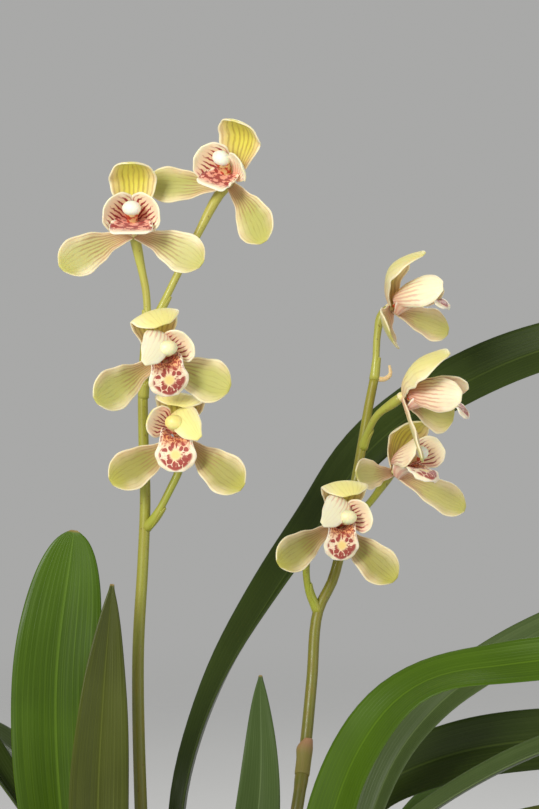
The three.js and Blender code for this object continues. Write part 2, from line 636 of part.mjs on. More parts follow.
function mixSolid() {
  const low = DRAINAGE_TOP + GAP;
  const wide = potInside(MIX.edge) - GAP;
  const profile = [[0, low], [potInside(low) - GAP, low], [wide, MIX.edge]];
  for (let k = 1; k <= MIX.rings; k++) {
    const r = wide * (1 - k / MIX.rings);
    profile.push([r, mixHeight(r)]);
  }
  const bed = reshape(turned(profile, MIX.sides), (v) => {
    const r = Math.hypot(v.x, v.y);
    if (v.z < MIX.edge - 1 || r > wide - 1 || r < 1) return;
    const fine = Math.sin(v.x * 0.83 + 1) * Math.cos(v.y * 0.71);
    v.z += MIX.roughness * (fine + Math.sin(v.x * 0.37 - v.y * 0.53));
  });
  const pebbles = [];
  for (let k = 0; k < MIX.pebbles; k++) {
    const r = (wide - 7) * Math.sqrt((k + 0.5) / MIX.pebbles);
    const angle = k * Math.PI * (3 - Math.sqrt(5)) + 0.4 * random();
    const size = mix(...MIX.pebble, random());
    const stone = new THREE.IcosahedronGeometry(size, 0).rotateX(3 * random()).rotateZ(3 * random());
    stone.scale(1, mix(0.7, 1, random()), 0.75);
    const place = [r * Math.cos(angle), r * Math.sin(angle), mixHeight(r) - 0.2 * size];
    pebbles.push(solid(stone).translate(place));
  }
  return union([solid(bed), ...pebbles]);
}

// Assembly
const part = new THREE.Group();
const bulbsCleared = union(BULBS.map((at) => bulbSolid(at, GAP)));

part.add(meshOf(potSolid(), "pot", PAINT.pot));
part.add(meshOf(drainageSolid(), "drainage_layer", PAINT.drainage));

const holes = union([
  rootstockSolid(GAP),
  ...Object.values(SPIKES).map((spike) => stem(spike.axis, () => SCAPE.base + 1, SCAPE.sides, 24, GAP)),
]);
part.add(meshOf(mixSolid().subtract(holes), "potting_mix", PAINT.mix));
part.add(meshOf(rootstockSolid(), "rootstock", PAINT.rootstock));

for (const [name, shape] of Object.entries(LEAVES)) {
  part.add(meshOf(leaf(shape).subtract(bulbsCleared), name, PAINT.leaf));
}

for (const [side, spike] of Object.entries(SPIKES)) {
  let stalks = spikeSolid(spike).subtract(rootstockSolid(GAP));
  for (const [name, bloom] of Object.entries(spike.blooms)) {
    const { sepals, petals, lip, clearance } = bloomSolids(bloom);
    part.add(meshOf(sepals, `${name}_sepals`, PAINT.sepal));
    part.add(meshOf(petals, `${name}_petals`, PAINT.petal));
    part.add(meshOf(lip, `${name}_lip`, PAINT.lip));
    stalks = stalks.subtract(clearance);
  }
  part.add(meshOf(stalks, `scape_${side}`, PAINT.scape));
}

export default part;
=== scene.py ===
# %% [markdown]
# # A potted Cymbidium ensifolium
# The plant is a small orchid: a clump of green pseudobulbs in a pot of bark, strap leaves that
# rise and arch over, and two upright flower spikes with four blooms each. Every piece here takes
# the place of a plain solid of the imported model, so it is built at that solid's place and size,
# from the same lengths and routes. All lengths are written in millimetres and turned to metres
# once, where a mesh is made.

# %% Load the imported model
import math
import random
from functools import partial

import bmesh
import bpy
from mathutils import Matrix, Vector


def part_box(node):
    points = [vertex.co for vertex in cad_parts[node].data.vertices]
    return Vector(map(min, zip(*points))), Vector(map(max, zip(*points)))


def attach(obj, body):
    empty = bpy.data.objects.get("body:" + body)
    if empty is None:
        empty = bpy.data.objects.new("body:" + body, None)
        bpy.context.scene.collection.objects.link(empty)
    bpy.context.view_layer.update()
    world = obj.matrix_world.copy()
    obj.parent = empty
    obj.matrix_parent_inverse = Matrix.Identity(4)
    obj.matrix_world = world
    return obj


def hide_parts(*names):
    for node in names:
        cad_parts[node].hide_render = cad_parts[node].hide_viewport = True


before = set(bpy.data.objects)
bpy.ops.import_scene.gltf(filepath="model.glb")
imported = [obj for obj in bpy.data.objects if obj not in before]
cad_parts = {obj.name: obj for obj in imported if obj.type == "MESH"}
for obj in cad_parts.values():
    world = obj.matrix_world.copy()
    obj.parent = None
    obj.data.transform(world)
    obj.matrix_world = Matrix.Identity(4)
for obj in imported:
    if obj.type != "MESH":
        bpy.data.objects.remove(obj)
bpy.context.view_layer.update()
MM = 0.001
print("nodes to dress:", len(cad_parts))

# %% [markdown]
# ## Working by hand, from a script
# An operator acts on all that is selected, as it does under the mouse. So each step starts with
# nothing selected, opens one mesh in edit mode, and picks vertices by where they are. With no
# window, the rotate operator turns the other way and needs its centre given, which `turn` hides.

# %% Helpers for selecting, turning and finishing
def leave_edit_mode():
    if bpy.context.object and bpy.context.object.mode != "OBJECT":
        bpy.ops.object.mode_set(mode="OBJECT")


def pick(*objects):
    """Select only these objects, and make the first one active."""
    leave_edit_mode()
    bpy.ops.object.select_all(action="DESELECT")
    for one in objects:
        one.select_set(True)
    bpy.context.view_layer.objects.active = objects[0]


def open_mesh(piece):
    """Open one mesh in edit mode with nothing selected, and return its vertices."""
    pick(piece)
    bpy.ops.object.mode_set(mode="EDIT")
    bpy.ops.mesh.select_mode(type="VERT")
    bpy.ops.mesh.select_all(action="DESELECT")
    mesh = bmesh.from_edit_mesh(piece.data)
    mesh.verts.ensure_lookup_table()
    return mesh


def turn(rotation, centre):
    """Turn what is selected by an Euler rotation about a centre."""
    for axis, angle in zip("XYZ", rotation):
        if abs(angle) > 1e-7:
            bpy.ops.transform.rotate(
                value=-angle, orient_axis=axis, orient_type="GLOBAL", center_override=centre
            )


def modify(piece, kind, **settings):
    """Add one modifier and apply it."""
    pick(piece)
    modifier = piece.modifiers.new(kind.title(), kind)
    for key, value in settings.items():
        setattr(modifier, key, value)
    bpy.ops.object.modifier_apply(modifier=modifier.name)


def join(name, pieces):
    """Join several meshes into one object of that name."""
    pick(*pieces)
    if len(pieces) > 1:
        bpy.ops.object.join()
    made = bpy.context.view_layer.objects.active
    made.name = made.data.name = name
    return made


dressed = []


def place(piece, node):
    """Let a finished piece take the place of its CAD node."""
    leave_edit_mode()
    pick(piece)
    bpy.ops.object.transform_apply(location=True, rotation=True, scale=True)
    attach(piece, "root")
    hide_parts(node)
    dressed.append(node)
    low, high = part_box(node)
    corners = [vertex.co for vertex in piece.data.vertices]
    over = max(
        max(low[k] - min(c[k] for c in corners), max(c[k] for c in corners) - high[k]) for k in range(3)
    )
    print(f"{piece.name}: {len(piece.data.polygons)} faces, {over / MM:.1f} mm past its solid's box")


# %% [markdown]
# ## Camera, light and floor
# The photograph was taken from straight ahead with a short telephoto lens, level with the flower
# spikes, and its lower edge cuts the plant off above the pot. The camera stands there. A pale
# floor fades out with distance, so no horizon line crosses the plant, and three wide soft lamps
# stand in for studio light: one above on the left as in the photograph, and two weaker ones.

# %% Camera
camera_data = bpy.data.cameras.new("camera")
camera_data.lens = 100.1
camera_data.sensor_width = 36
camera_data.sensor_fit = "AUTO"
camera_data.clip_end = 50
camera = bpy.data.objects.new("camera", camera_data)
bpy.context.scene.collection.objects.link(camera)
camera.location = (0.014, -0.630, 0.338)
camera.rotation_euler = (math.radians(90), 0, 0)
bpy.context.scene.camera = camera
bpy.context.scene.view_settings.view_transform = "Standard"
print("camera", tuple(round(x, 3) for x in camera.location), "lens", round(camera_data.lens, 1))


# %% Lamps and surroundings
def soft_lamp(name, place_m, width, watts, tint):
    """A wide square lamp that looks at the middle of the plant."""
    lamp = bpy.data.lights.new(name, "AREA")
    lamp.size = width
    lamp.energy = watts
    lamp.color = tint
    holder = bpy.data.objects.new(name, lamp)
    bpy.context.scene.collection.objects.link(holder)
    holder.location = place_m
    aim = Vector((0.01, 0, 0.3)) - holder.location
    holder.rotation_euler = aim.to_track_quat("-Z", "Y").to_euler()
    return holder


key_lamp = soft_lamp("key_lamp", (-0.85, -1.45, 0.85), 0.6, 26, (1.0, 0.98, 0.95))
fill_lamp = soft_lamp("fill_lamp", (1.3, -0.9, 0.5), 1.0, 5, (0.97, 0.98, 1.0))
back_lamp = soft_lamp("back_lamp", (0.5, 1.3, 1.3), 0.8, 9, (1.0, 1.0, 1.0))
world = bpy.data.worlds.new("studio")
bpy.context.scene.world = world
world.use_nodes = True
world.node_tree.nodes["Background"].inputs["Color"].default_value = (0.66, 0.66, 0.65, 1)
world.node_tree.nodes["Background"].inputs["Strength"].default_value = 0.6
print("lamps:", key_lamp.name, fill_lamp.name, back_lamp.name)

# %% [markdown]
# ## Materials made of nodes
# A finish is a Principled shader with small patterns wired to its colour, roughness and bump. The
# helpers below add one node each and wire it at once, so that a finish reads from top to bottom
# like a recipe. Patterns that follow a leaf or petal read its own UV map, in which U runs across
# the blade and V from base to tip. Patterns on round things read object coordinates.

# %% Node helpers
def new_finish(name, **sockets):
    """A new material. The sockets given are set on the shader itself."""
    material = bpy.data.materials.new(name)
    material.use_nodes = True
    shader = material.node_tree.nodes["Principled BSDF"]
    for key, value in sockets.items():
        shader.inputs[key.replace("_", " ")].default_value = value
    return material


def add(material, kind, inputs=(), **settings):
    """Add a node, set it up, and wire or fill its inputs."""
    node = material.node_tree.nodes.new(kind)
    for key, value in settings.items():
        setattr(node, key, value)
    for key, value in dict(inputs).items():
        socket = node.inputs[key]
        if isinstance(value, bpy.types.NodeSocket):
            material.node_tree.links.new(value, socket)
        else:
            socket.default_value = value
    return node


def maths(material, operation, a, b=0.5, c=0.0):
    node = add(material, "ShaderNodeMath", {0: a, 1: b, 2: c}, operation=operation)
    return node.outputs[0]


def times(material, a, b):
    return maths(material, "MULTIPLY", a, b)


def ramp(material, value, low, high, to_low=0.0, to_high=1.0):
    """A smooth step of value from low to high."""
    node = add(
        material,
        "ShaderNodeMapRange",
        {"Value": value, "From Min": low, "From Max": high, "To Min": to_low, "To Max": to_high},
        interpolation_type="SMOOTHSTEP",
    )
    return node.outputs["Result"]


def blend(material, factor, first, second, way="MIX"):
    """Mix two colours, each a colour or another node's output."""
    node = add(material, "ShaderNodeMix", data_type="RGBA", blend_type=way)
    for socket, value in zip((node.inputs[0], node.inputs[6], node.inputs[7]), (factor, first, second)):
        if isinstance(value, bpy.types.NodeSocket):
            material.node_tree.links.new(value, socket)
        elif socket is node.inputs[0]:
            socket.default_value = value
        else:
            socket.default_value = (*value, 1)
    return node.outputs[2]


def noise(material, where, scale, detail=3.0, roughness=0.5):
    node = add(
        material,
        "ShaderNodeTexNoise",
        {"Vector": where, "Scale": scale, "Detail": detail, "Roughness": roughness},
    )
    return node.outputs["Fac"]


def stretched(material, where, stretch):
    """A place scaled along each axis, which squeezes or draws out a pattern."""
    return add(material, "ShaderNodeMapping", {"Vector": where, "Scale": stretch}).outputs["Vector"]


def object_place(material, stretch=(1, 1, 1)):
    """The place on the object, in metres, stretched along an axis if asked."""
    where = add(material, "ShaderNodeTexCoord").outputs["Object"]
    return stretched(material, where, stretch)


def blade_place(material, stretch):
    """U, V and the stretched UV place on a blade."""
    where = add(material, "ShaderNodeTexCoord").outputs["UV"]
    parts = add(material, "ShaderNodeSeparateXYZ", {0: where})
    return parts.outputs["X"], parts.outputs["Y"], stretched(material, where, stretch)


def finish_with(material, colour, roughness=None, height=None, strength=0.3, distance=0.2):
    """Wire the colour, roughness and bump height to the shader. Distance is in millimetres."""
    shader = material.node_tree.nodes["Principled BSDF"]
    links = material.node_tree.links
    links.new(colour, shader.inputs["Base Color"])
    if roughness is not None:
        links.new(roughness, shader.inputs["Roughness"])
    if height is not None:
        bump = add(
            material, "ShaderNodeBump", {"Height": height, "Strength": strength, "Distance": distance * MM}
        )
        links.new(bump.outputs["Normal"], shader.inputs["Normal"])
    return material


def wear(piece, *materials):
    """Give a piece its materials. Slots that it has already are kept, with the faces that use them."""
    slots = piece.data.materials
    for k, material in enumerate(materials):
        if k < len(slots):
            slots[k] = material
        else:
            slots.append(material)


# %% Floor
FLOOR_SIZE = 8.0
FADE_FROM, FADE_TO = 0.7, 2.6
bpy.ops.object.select_all(action="DESELECT")
bpy.ops.mesh.primitive_grid_add(
    x_subdivisions=8, y_subdivisions=8, size=FLOOR_SIZE, location=(0, 0, -0.0005)
)
floor = bpy.context.object
floor.name = "floor"
floor_finish = new_finish("pale_floor", Roughness=0.9)
floor_place = object_place(floor_finish)
floor_reach = add(floor_finish, "ShaderNodeVectorMath", {0: floor_place}, operation="LENGTH")
floor_clouds = noise(floor_finish, floor_place, 3)
floor_colour = blend(floor_finish, floor_clouds, (0.66, 0.66, 0.65), (0.70, 0.70, 0.69))
finish_with(floor_finish, floor_colour)
see_through = ramp(floor_finish, floor_reach.outputs["Value"], FADE_FROM, FADE_TO, 1.0, 0.0)
floor_finish.node_tree.links.new(
    see_through, floor_finish.node_tree.nodes["Principled BSDF"].inputs["Alpha"]
)
wear(floor, floor_finish)
print("floor", FLOOR_SIZE, "m across, fading out by", FADE_TO, "m")

# %% [markdown]
# ## Pot
# An orchid of this size stands in a plain round clay pot, narrow at the foot and with a thick rim.
# It could be spun from a profile. Here it is made as a learner would by hand: one circle for the
# foot, extruded and resized ring by ring up the outside, over the rim and down the inside, which
# keeps one clean closed skin. The four drain holes are cut with a Boolean modifier.

# %% Pot shape
POT = dict(
    height=150, rim_radius=75, rim_height=15, neck_radius=70, foot_radius=53, wall=6, floor=9, edge=1.5,
    drain_radius=5.5, drain_ring=27, drains=4, sides=96,
)


def mix(a, b, t):
    return a + (b - a) * t


def pot_inside(height):
    """The inner radius of the pot at a height."""
    share = (height - POT["floor"]) / (POT["height"] - POT["rim_height"] - POT["floor"])
    return mix(POT["foot_radius"], POT["neck_radius"], share) - POT["wall"]


def ringed_solid(name, rings, sides):
    """A closed round solid: a disc, extruded and resized once for each (radius, height) ring."""
    bpy.ops.object.select_all(action="DESELECT")
    radius, height = rings[0]
    bpy.ops.mesh.primitive_circle_add(
        vertices=sides, radius=radius * MM, fill_type="NGON", location=(0, 0, height * MM)
    )
    made = bpy.context.object
    made.name = name
    pick(made)
    bpy.ops.object.transform_apply(location=True)
    bpy.ops.object.mode_set(mode="EDIT")
    bpy.ops.mesh.select_mode(type="FACE")
    bpy.ops.mesh.select_all(action="SELECT")
    for next_radius, next_height in rings[1:]:
        bpy.ops.mesh.extrude_region_move(
            TRANSFORM_OT_translate={"value": (0, 0, (next_height - height) * MM)}
        )
        grow = next_radius / radius
        bpy.ops.transform.resize(value=(grow, grow, 1), center_override=(0, 0, next_height * MM))
        radius, height = next_radius, next_height
    bpy.ops.mesh.select_all(action="SELECT")
    bpy.ops.mesh.normals_make_consistent(inside=False)
    leave_edit_mode()
    return made


foot, neck, rim = POT["foot_radius"], POT["neck_radius"], POT["rim_radius"]
top, edge = POT["height"], POT["edge"]
neck_height = top - POT["rim_height"]
mouth = pot_inside(top)
pot = ringed_solid(
    "pot_body",
    [
        (foot - edge, 0),
        (foot - 0.4, 0.45),
        (foot, edge),
        (mix(foot, neck, 0.3), 0.3 * neck_height),
        (mix(foot, neck, 0.65), 0.65 * neck_height),
        (neck, neck_height - 0.4),
        (neck + 0.5, neck_height),
        (rim - edge, neck_height + edge),
        (rim - 0.4, neck_height + 1.7 * edge),
        (rim, neck_height + 3 * edge),
        (rim, top - 2.4 * edge),
        (rim - 0.4, top - 1.3 * edge),
        (rim - edge, top - 0.4 * edge),
        (rim - 2 * edge, top),
        (mouth + edge, top),
        (mouth + 0.3, top - 0.4),
        (mouth, top - edge),
        (pot_inside(0.5 * top), 0.5 * top),
        (pot_inside(POT["floor"] + 2), POT["floor"] + 2),
        (pot_inside(POT["floor"]) - 2, POT["floor"]),
    ],
    POT["sides"],
)

# %% Drain holes
bpy.ops.object.select_all(action="DESELECT")
drills = []
for k in range(POT["drains"]):
    angle = (k + 0.5) * math.tau / POT["drains"]
    bpy.ops.mesh.primitive_cylinder_add(
        vertices=32, radius=POT["drain_radius"] * MM, depth=4 * POT["floor"] * MM,
        location=(POT["drain_ring"] * math.cos(angle) * MM, POT["drain_ring"] * math.sin(angle) * MM, 0),
    )
    drills.append(bpy.context.object)
drill = join("drill", drills)
modify(pot, "BOOLEAN", operation="DIFFERENCE", solver="EXACT", object=drill)
bpy.data.objects.remove(drill)
pick(pot)
bpy.ops.object.shade_smooth_by_angle(angle=math.radians(28))
print("pot", POT["height"], "mm high with", POT["drains"], "drain holes")

# %% [markdown]
# The clay is unglazed and brown. Its colour varies in soft clouds, fine turning marks run round it,
# and a pale bloom of salts has settled at the foot and on the rim, as it does on a watered pot.

# %% Pot finish
clay = new_finish("brown_clay", Roughness=0.78)
clay_place = object_place(clay)
clouds = noise(clay, clay_place, 22, 4)
grains = noise(clay, clay_place, 900, 2)
turning = noise(clay, object_place(clay, (4, 4, 700)), 1.0, 2)
clay_colour = blend(clay, clouds, (0.16, 0.082, 0.052), (0.26, 0.138, 0.092))
clay_colour = blend(clay, ramp(clay, grains, 0.6, 0.72), clay_colour, (0.36, 0.25, 0.19))
clay_height = add(clay, "ShaderNodeSeparateXYZ", {0: clay_place}).outputs["Z"]
salts = maths(clay, "MAXIMUM", ramp(clay, clay_height, 0.030, 0.002), ramp(clay, clay_height, 0.143, 0.150))
salts = times(clay, salts, ramp(clay, noise(clay, clay_place, 60, 5), 0.45, 0.75))
clay_colour = blend(clay, salts, clay_colour, (0.48, 0.42, 0.36))
clay_bump = maths(clay, "MULTIPLY_ADD", grains, 0.6, turning)
finish_with(clay, clay_colour, ramp(clay, clouds, 0.2, 0.8, 0.68, 0.88), clay_bump, 0.5, 0.25)
wear(pot, clay)
pot.name = "clay_pot"
place(pot, "pot")

# %% [markdown]
# ## Drainage layer
# Under the mix lies a layer of fired clay balls that lets water run out. It is hardly ever seen,
# so it is a core disc with one ball, shaped once and copied over it, each copy with its own mesh.

# %% Drainage balls
DRAINAGE_TOP, GAP = 38, 0.3
LEVELS = (5.4, 14.2, 23.2)
BALLS_A_LEVEL = 110
HIDDEN_MIDDLE = 26
GOLDEN_ANGLE = 2.39996
chance = random.Random(7)


def sunflower(k, count, radius):
    """The reach and angle of one of count places that are spread evenly over a disc."""
    return radius * math.sqrt((k + 0.5) / count), GOLDEN_ANGLE * k


def copy_of(piece, name):
    """A copy with its own mesh."""
    pick(piece)
    bpy.ops.object.duplicate(linked=False)
    made = bpy.context.view_layer.objects.active
    made.name = name
    return made


def set_down(piece, place_mm, rotation, scale):
    """Scale, turn and move a piece that was modelled at the origin."""
    piece.scale = scale
    piece.rotation_euler = rotation
    piece.location = [x * MM for x in place_mm]


bpy.ops.object.select_all(action="DESELECT")
bpy.ops.mesh.primitive_ico_sphere_add(subdivisions=2, radius=5 * MM)
ball = bpy.context.object
open_mesh(ball)
bpy.ops.mesh.select_all(action="SELECT")
bpy.ops.transform.vertex_random(offset=0.4 * MM, uniform=0.5, normal=0.5, seed=3)
leave_edit_mode()
low = POT["floor"] + GAP
core = ringed_solid(
    "drainage_core",
    [(pot_inside(low) - 3, low + 0.6), (pot_inside(DRAINAGE_TOP) - 3, DRAINAGE_TOP - 1.5)],
    48,
)
balls = [core]
for level, rise in enumerate(LEVELS):
    height = low + rise
    for k in range(BALLS_A_LEVEL):
        reach, angle = sunflower(k, BALLS_A_LEVEL, pot_inside(height) - 5.6)
        if reach < HIDDEN_MIDDLE and level < 2:
            continue
        angle += level
        one = copy_of(ball, "ball")
        size = chance.uniform(0.85, 1.0)
        set_down(
            one,
            (reach * math.cos(angle), reach * math.sin(angle), height),
            [chance.uniform(0, 6) for _ in range(3)],
            (size, size, 0.9 * size),
        )
        balls.append(one)
bpy.data.objects.remove(ball)
drainage = join("drainage_balls", balls)
bpy.ops.object.shade_smooth_by_angle(angle=math.radians(50))
fired = new_finish("fired_clay_balls", Roughness=0.92)
fired_place = object_place(fired)
fired_colour = blend(fired, noise(fired, fired_place, 130, 3), (0.24, 0.1, 0.055), (0.45, 0.22, 0.13))
finish_with(fired, fired_colour, height=noise(fired, fired_place, 900, 3), strength=0.6, distance=0.3)
wear(drainage, fired)
place(drainage, "drainage_layer")

# %% [markdown]
# ## Potting mix
# Orchids grow in chipped bark, not in soil. A mounded bed, roughened on top, gives the shape and
# fills the pot below. On it lie chips: three lumps are modelled from cubes by bevel and random
# moves, and then copied, turned and part sunk, a few dozen faces each. A little moss has grown
# between them, which is a patch of colour and a fine bump, not separate strands.

# %% Bed of bark
MIX = dict(edge=136, crown=143)
BULBS = [(-28, -7), (-8, 5), (14, -5), (24, 16), (-6, 26)]


def ease(t):
    """A smooth step from 0 to 1."""
    t = min(1, max(0, t))
    return t * t * (3 - 2 * t)


def mix_height(radius):
    return mix(MIX["crown"], MIX["edge"], ease(radius / pot_inside(MIX["edge"])))


MOUND_RINGS = (0.97, 0.9, 0.8, 0.7, 0.6, 0.5, 0.4, 0.3, 0.2, 0.1)
bed_radius = pot_inside(MIX["edge"]) - GAP
bed = ringed_solid(
    "bark_bed",
    [
        (pot_inside(DRAINAGE_TOP) - GAP - 1, DRAINAGE_TOP + GAP),
        (pot_inside(DRAINAGE_TOP + 2) - GAP, DRAINAGE_TOP + 2),
        (pot_inside(90) - GAP, 90),
        (bed_radius, MIX["edge"] - 1),
        *((bed_radius * share, mix_height(bed_radius * share)) for share in MOUND_RINGS),
    ],
    72,
)
crumb_mesh = open_mesh(bed)
for vertex in crumb_mesh.verts:
    flat = math.hypot(vertex.co.x, vertex.co.y)
    vertex.select = vertex.co.z > (MIX["edge"] - 0.5) * MM and flat < 0.95 * bed_radius * MM
bpy.ops.transform.vertex_random(offset=2.2 * MM, uniform=0.2, normal=1.0, seed=11)
leave_edit_mode()
print("bed of bark", round(2 * bed_radius), "mm wide")


# %% Bark chips
def lump(name, size, seed):
    """One chip: a cube bevelled and roughened by hand."""
    bpy.ops.object.select_all(action="DESELECT")
    bpy.ops.mesh.primitive_cube_add(size=size * MM)
    made = bpy.context.object
    made.name = name
    open_mesh(made)
    bpy.ops.mesh.select_all(action="SELECT")
    bpy.ops.mesh.bevel(offset=0.16 * size * MM, segments=1)
    bpy.ops.mesh.select_all(action="SELECT")
    bpy.ops.transform.vertex_random(offset=0.16 * size * MM, uniform=0.8, normal=0.4, seed=seed)
    leave_edit_mode()
    return made


CHIP_SIZE = 8
CHIP_PLACES = 420
FLOWER_STEMS = [(-18.2, -3), (8.7, 8.6)]
chips = [lump(f"chip_{seed}", CHIP_SIZE, seed) for seed in (1, 2, 3)]


def clear_of(x, y, places, room):
    """Whether a chip is further than room from all of these places."""
    return all(math.hypot(x - a, y - b) > room for a, b in places)


bark = [bed]
for k in range(CHIP_PLACES):
    reach, angle = sunflower(k, CHIP_PLACES, bed_radius - 4.5)
    angle += chance.uniform(-0.3, 0.3)
    x, y = reach * math.cos(angle), reach * math.sin(angle)
    size = chance.uniform(0.5, 1.15)
    rotation = [chance.uniform(0, 6) for _ in range(3)]
    flat = [size * chance.uniform(*limits) for limits in ((0.7, 1.35), (0.6, 1.0), (0.35, 0.6))]
    room = 4.5 * size
    if not (clear_of(x, y, BULBS, 10 + room) and clear_of(x, y, FLOWER_STEMS, 3 + room)):
        continue
    one = copy_of(chips[k % 3], "chip")
    tilt = (chance.uniform(-0.5, 0.5), chance.uniform(-0.5, 0.5), rotation[2])
    set_down(one, (x, y, mix_height(reach) + 0.9 * size), tilt, flat)
    bark.append(one)
for one in chips:
    bpy.data.objects.remove(one)
potting_mix = join("bark_mix", bark)
bpy.ops.object.shade_smooth_by_angle(angle=math.radians(35))

# %% Bark finish
damp_bark = new_finish("damp_bark", Roughness=0.85)
bark_place = object_place(damp_bark)
tone = ramp(damp_bark, noise(damp_bark, bark_place, 160, 2), 0.35, 0.65)
fibre = noise(damp_bark, object_place(damp_bark, (1, 1, 5)), 420, 5, 0.7)
bark_colour = blend(damp_bark, tone, (0.035, 0.019, 0.012), (0.17, 0.088, 0.048))
bark_colour = blend(damp_bark, ramp(damp_bark, fibre, 0.5, 0.75), bark_colour, (0.27, 0.17, 0.10))
moss = ramp(damp_bark, noise(damp_bark, bark_place, 38, 3), 0.56, 0.66)
moss = times(damp_bark, moss, ramp(damp_bark, noise(damp_bark, bark_place, 700, 3), 0.42, 0.56))
bark_colour = blend(damp_bark, moss, bark_colour, (0.085, 0.13, 0.025))
bark_bump = maths(damp_bark, "MULTIPLY_ADD", moss, 0.8, fibre)
finish_with(damp_bark, bark_colour, ramp(damp_bark, fibre, 0.2, 0.8, 0.95, 0.7), bark_bump, 0.7, 0.5)
wear(potting_mix, damp_bark)
place(potting_mix, "potting_mix")

# %% [markdown]
# ## Routes
# Roots, stems and leaves all follow a route: a smooth curve through a few points. A learner would
# draw a Bezier curve and let the handles find themselves. Here the curve is a centripetal
# Catmull-Rom spline, the same one the solids use, because it passes through the very same places.

# %% Smooth routes
class Route:
    """A centripetal Catmull-Rom curve through points in millimetres, measured by its length."""

    def __init__(self, points, fine=24):
        self.knots = [Vector(p) for p in points]
        first, last = self.knots[0], self.knots[-1]
        self.knots = [2 * first - self.knots[1], *self.knots, 2 * last - self.knots[-2]]
        self.samples = [first]
        for k in range(1, len(self.knots) - 2):
            for step in range(1, fine + 1):
                self.samples.append(self.between(k, step / fine))
        self.lengths = [0.0]
        for a, b in zip(self.samples, self.samples[1:]):
            self.lengths.append(self.lengths[-1] + (b - a).length)

    def between(self, k, t):
        """A point on the piece of curve from knot k to the next one."""
        p = self.knots[k - 1 : k + 3]
        gaps = [max(1e-6, (b - a).length ** 0.5) for a, b in zip(p, p[1:])]
        start = (p[1] - p[0]) / gaps[0] - (p[2] - p[0]) / (gaps[0] + gaps[1]) + (p[2] - p[1]) / gaps[1]
        finish = (p[2] - p[1]) / gaps[1] - (p[3] - p[1]) / (gaps[1] + gaps[2]) + (p[3] - p[2]) / gaps[2]
        start, finish = start * gaps[1], finish * gaps[1]
        return (
            p[1]
            + start * t
            + (3 * (p[2] - p[1]) - 2 * start - finish) * t * t
            + (2 * (p[1] - p[2]) + start + finish) * t**3
        )

    def at(self, share):
        """The point at a share of the route's length."""
        goal = min(1, max(0, share)) * self.lengths[-1]
        k = 1
        while k < len(self.lengths) - 1 and self.lengths[k] < goal:
            k += 1
        span = self.lengths[k] - self.lengths[k - 1]
        return self.samples[k - 1].lerp(self.samples[k], (goal - self.lengths[k - 1]) / max(span, 1e-9))

    def ahead(self, share):
        """The direction of travel there."""
        return (self.at(min(1, share + 1e-3)) - self.at(max(0, share - 1e-3))).normalized()


def station(pairs, t):
    """The value at t of a list of (position, value) pairs, joined smoothly."""
    k = 1
    while k < len(pairs) - 1 and pairs[k][0] < t:
        k += 1
    (a, start), (b, finish) = pairs[k - 1], pairs[k]
    return mix(start, finish, ease((t - a) / (b - a)))


def spread(values, t):
    """The value at t of a list spread evenly over 0 to 1."""
    return station([(k / (len(values) - 1), value) for k, value in enumerate(values)], t)


# %% [markdown]
# ## Round stems
# A stem is a small disc that is extruded along its route. After each extrusion the new ring is
# turned to face the way the route goes, and resized, which gives swollen nodes and thin necks.

# %% Extruded stems
def stem(name, route, radius_at, sides=10, steps=16):
    """A round stem along a route, with its radius in millimetres at each share of the length."""
    bpy.ops.object.select_all(action="DESELECT")
    bpy.ops.mesh.primitive_circle_add(vertices=sides, radius=radius_at(0) * MM, fill_type="NGON")
    made = bpy.context.object
    made.name = name
    open_mesh(made)
    bpy.ops.mesh.select_mode(type="FACE")
    bpy.ops.mesh.select_all(action="SELECT")
    here, facing, radius = Vector((0, 0, 0)), Vector((0, 0, 1)), radius_at(0)
    for step in range(steps + 1):
        share = step / steps
        there, direction = route.at(share) * MM, route.ahead(share)
        if step == 0:
            bpy.ops.transform.translate(value=there)
        else:
            bpy.ops.mesh.extrude_region_move(TRANSFORM_OT_translate={"value": there - here})
        turn(facing.rotation_difference(direction).to_euler(), there)
        grow = radius_at(share) / radius
        bpy.ops.transform.resize(value=(grow, grow, grow), center_override=there)
        here, facing, radius = there, direction, radius_at(share)
    bpy.ops.mesh.select_all(action="SELECT")
    bpy.ops.mesh.normals_make_consistent(inside=False)
    leave_edit_mode()
    pick(made)
    bpy.ops.object.shade_smooth()
    return made


# %% [markdown]
# ## Rootstock
# The clump is a row of green pseudobulbs joined by a creeping rhizome, each wrapped in dry sheaths
# left by old leaves, with thick white roots below. A bulb starts as a ball, is drawn out to an egg
# and pinched at its neck. A sheath is the lower part of the same egg, cut on a slant and thickened.

# %% Pseudobulbs and their dry sheaths
BULB = dict(radius=8, half_height=12, middle=141)


def egg(name, grow):
    """An egg-shaped bulb about the origin, larger than the bare bulb by grow."""
    bpy.ops.object.select_all(action="DESELECT")
    bpy.ops.mesh.primitive_uv_sphere_add(segments=28, ring_count=18, radius=BULB["radius"] * grow * MM)
    made = bpy.context.object
    made.name = name
    shape = open_mesh(made)
    bpy.ops.mesh.select_all(action="SELECT")
    bpy.ops.transform.resize(value=(0.97, 0.97, BULB["half_height"] / BULB["radius"]))
    bpy.ops.mesh.select_all(action="DESELECT")
    for vertex in shape.verts:
        vertex.select = vertex.co.z > 0.3 * BULB["half_height"] * MM
    bpy.ops.transform.resize(value=(0.9, 0.9, 1), center_override=(0, 0, 0))
    leave_edit_mode()
    return made


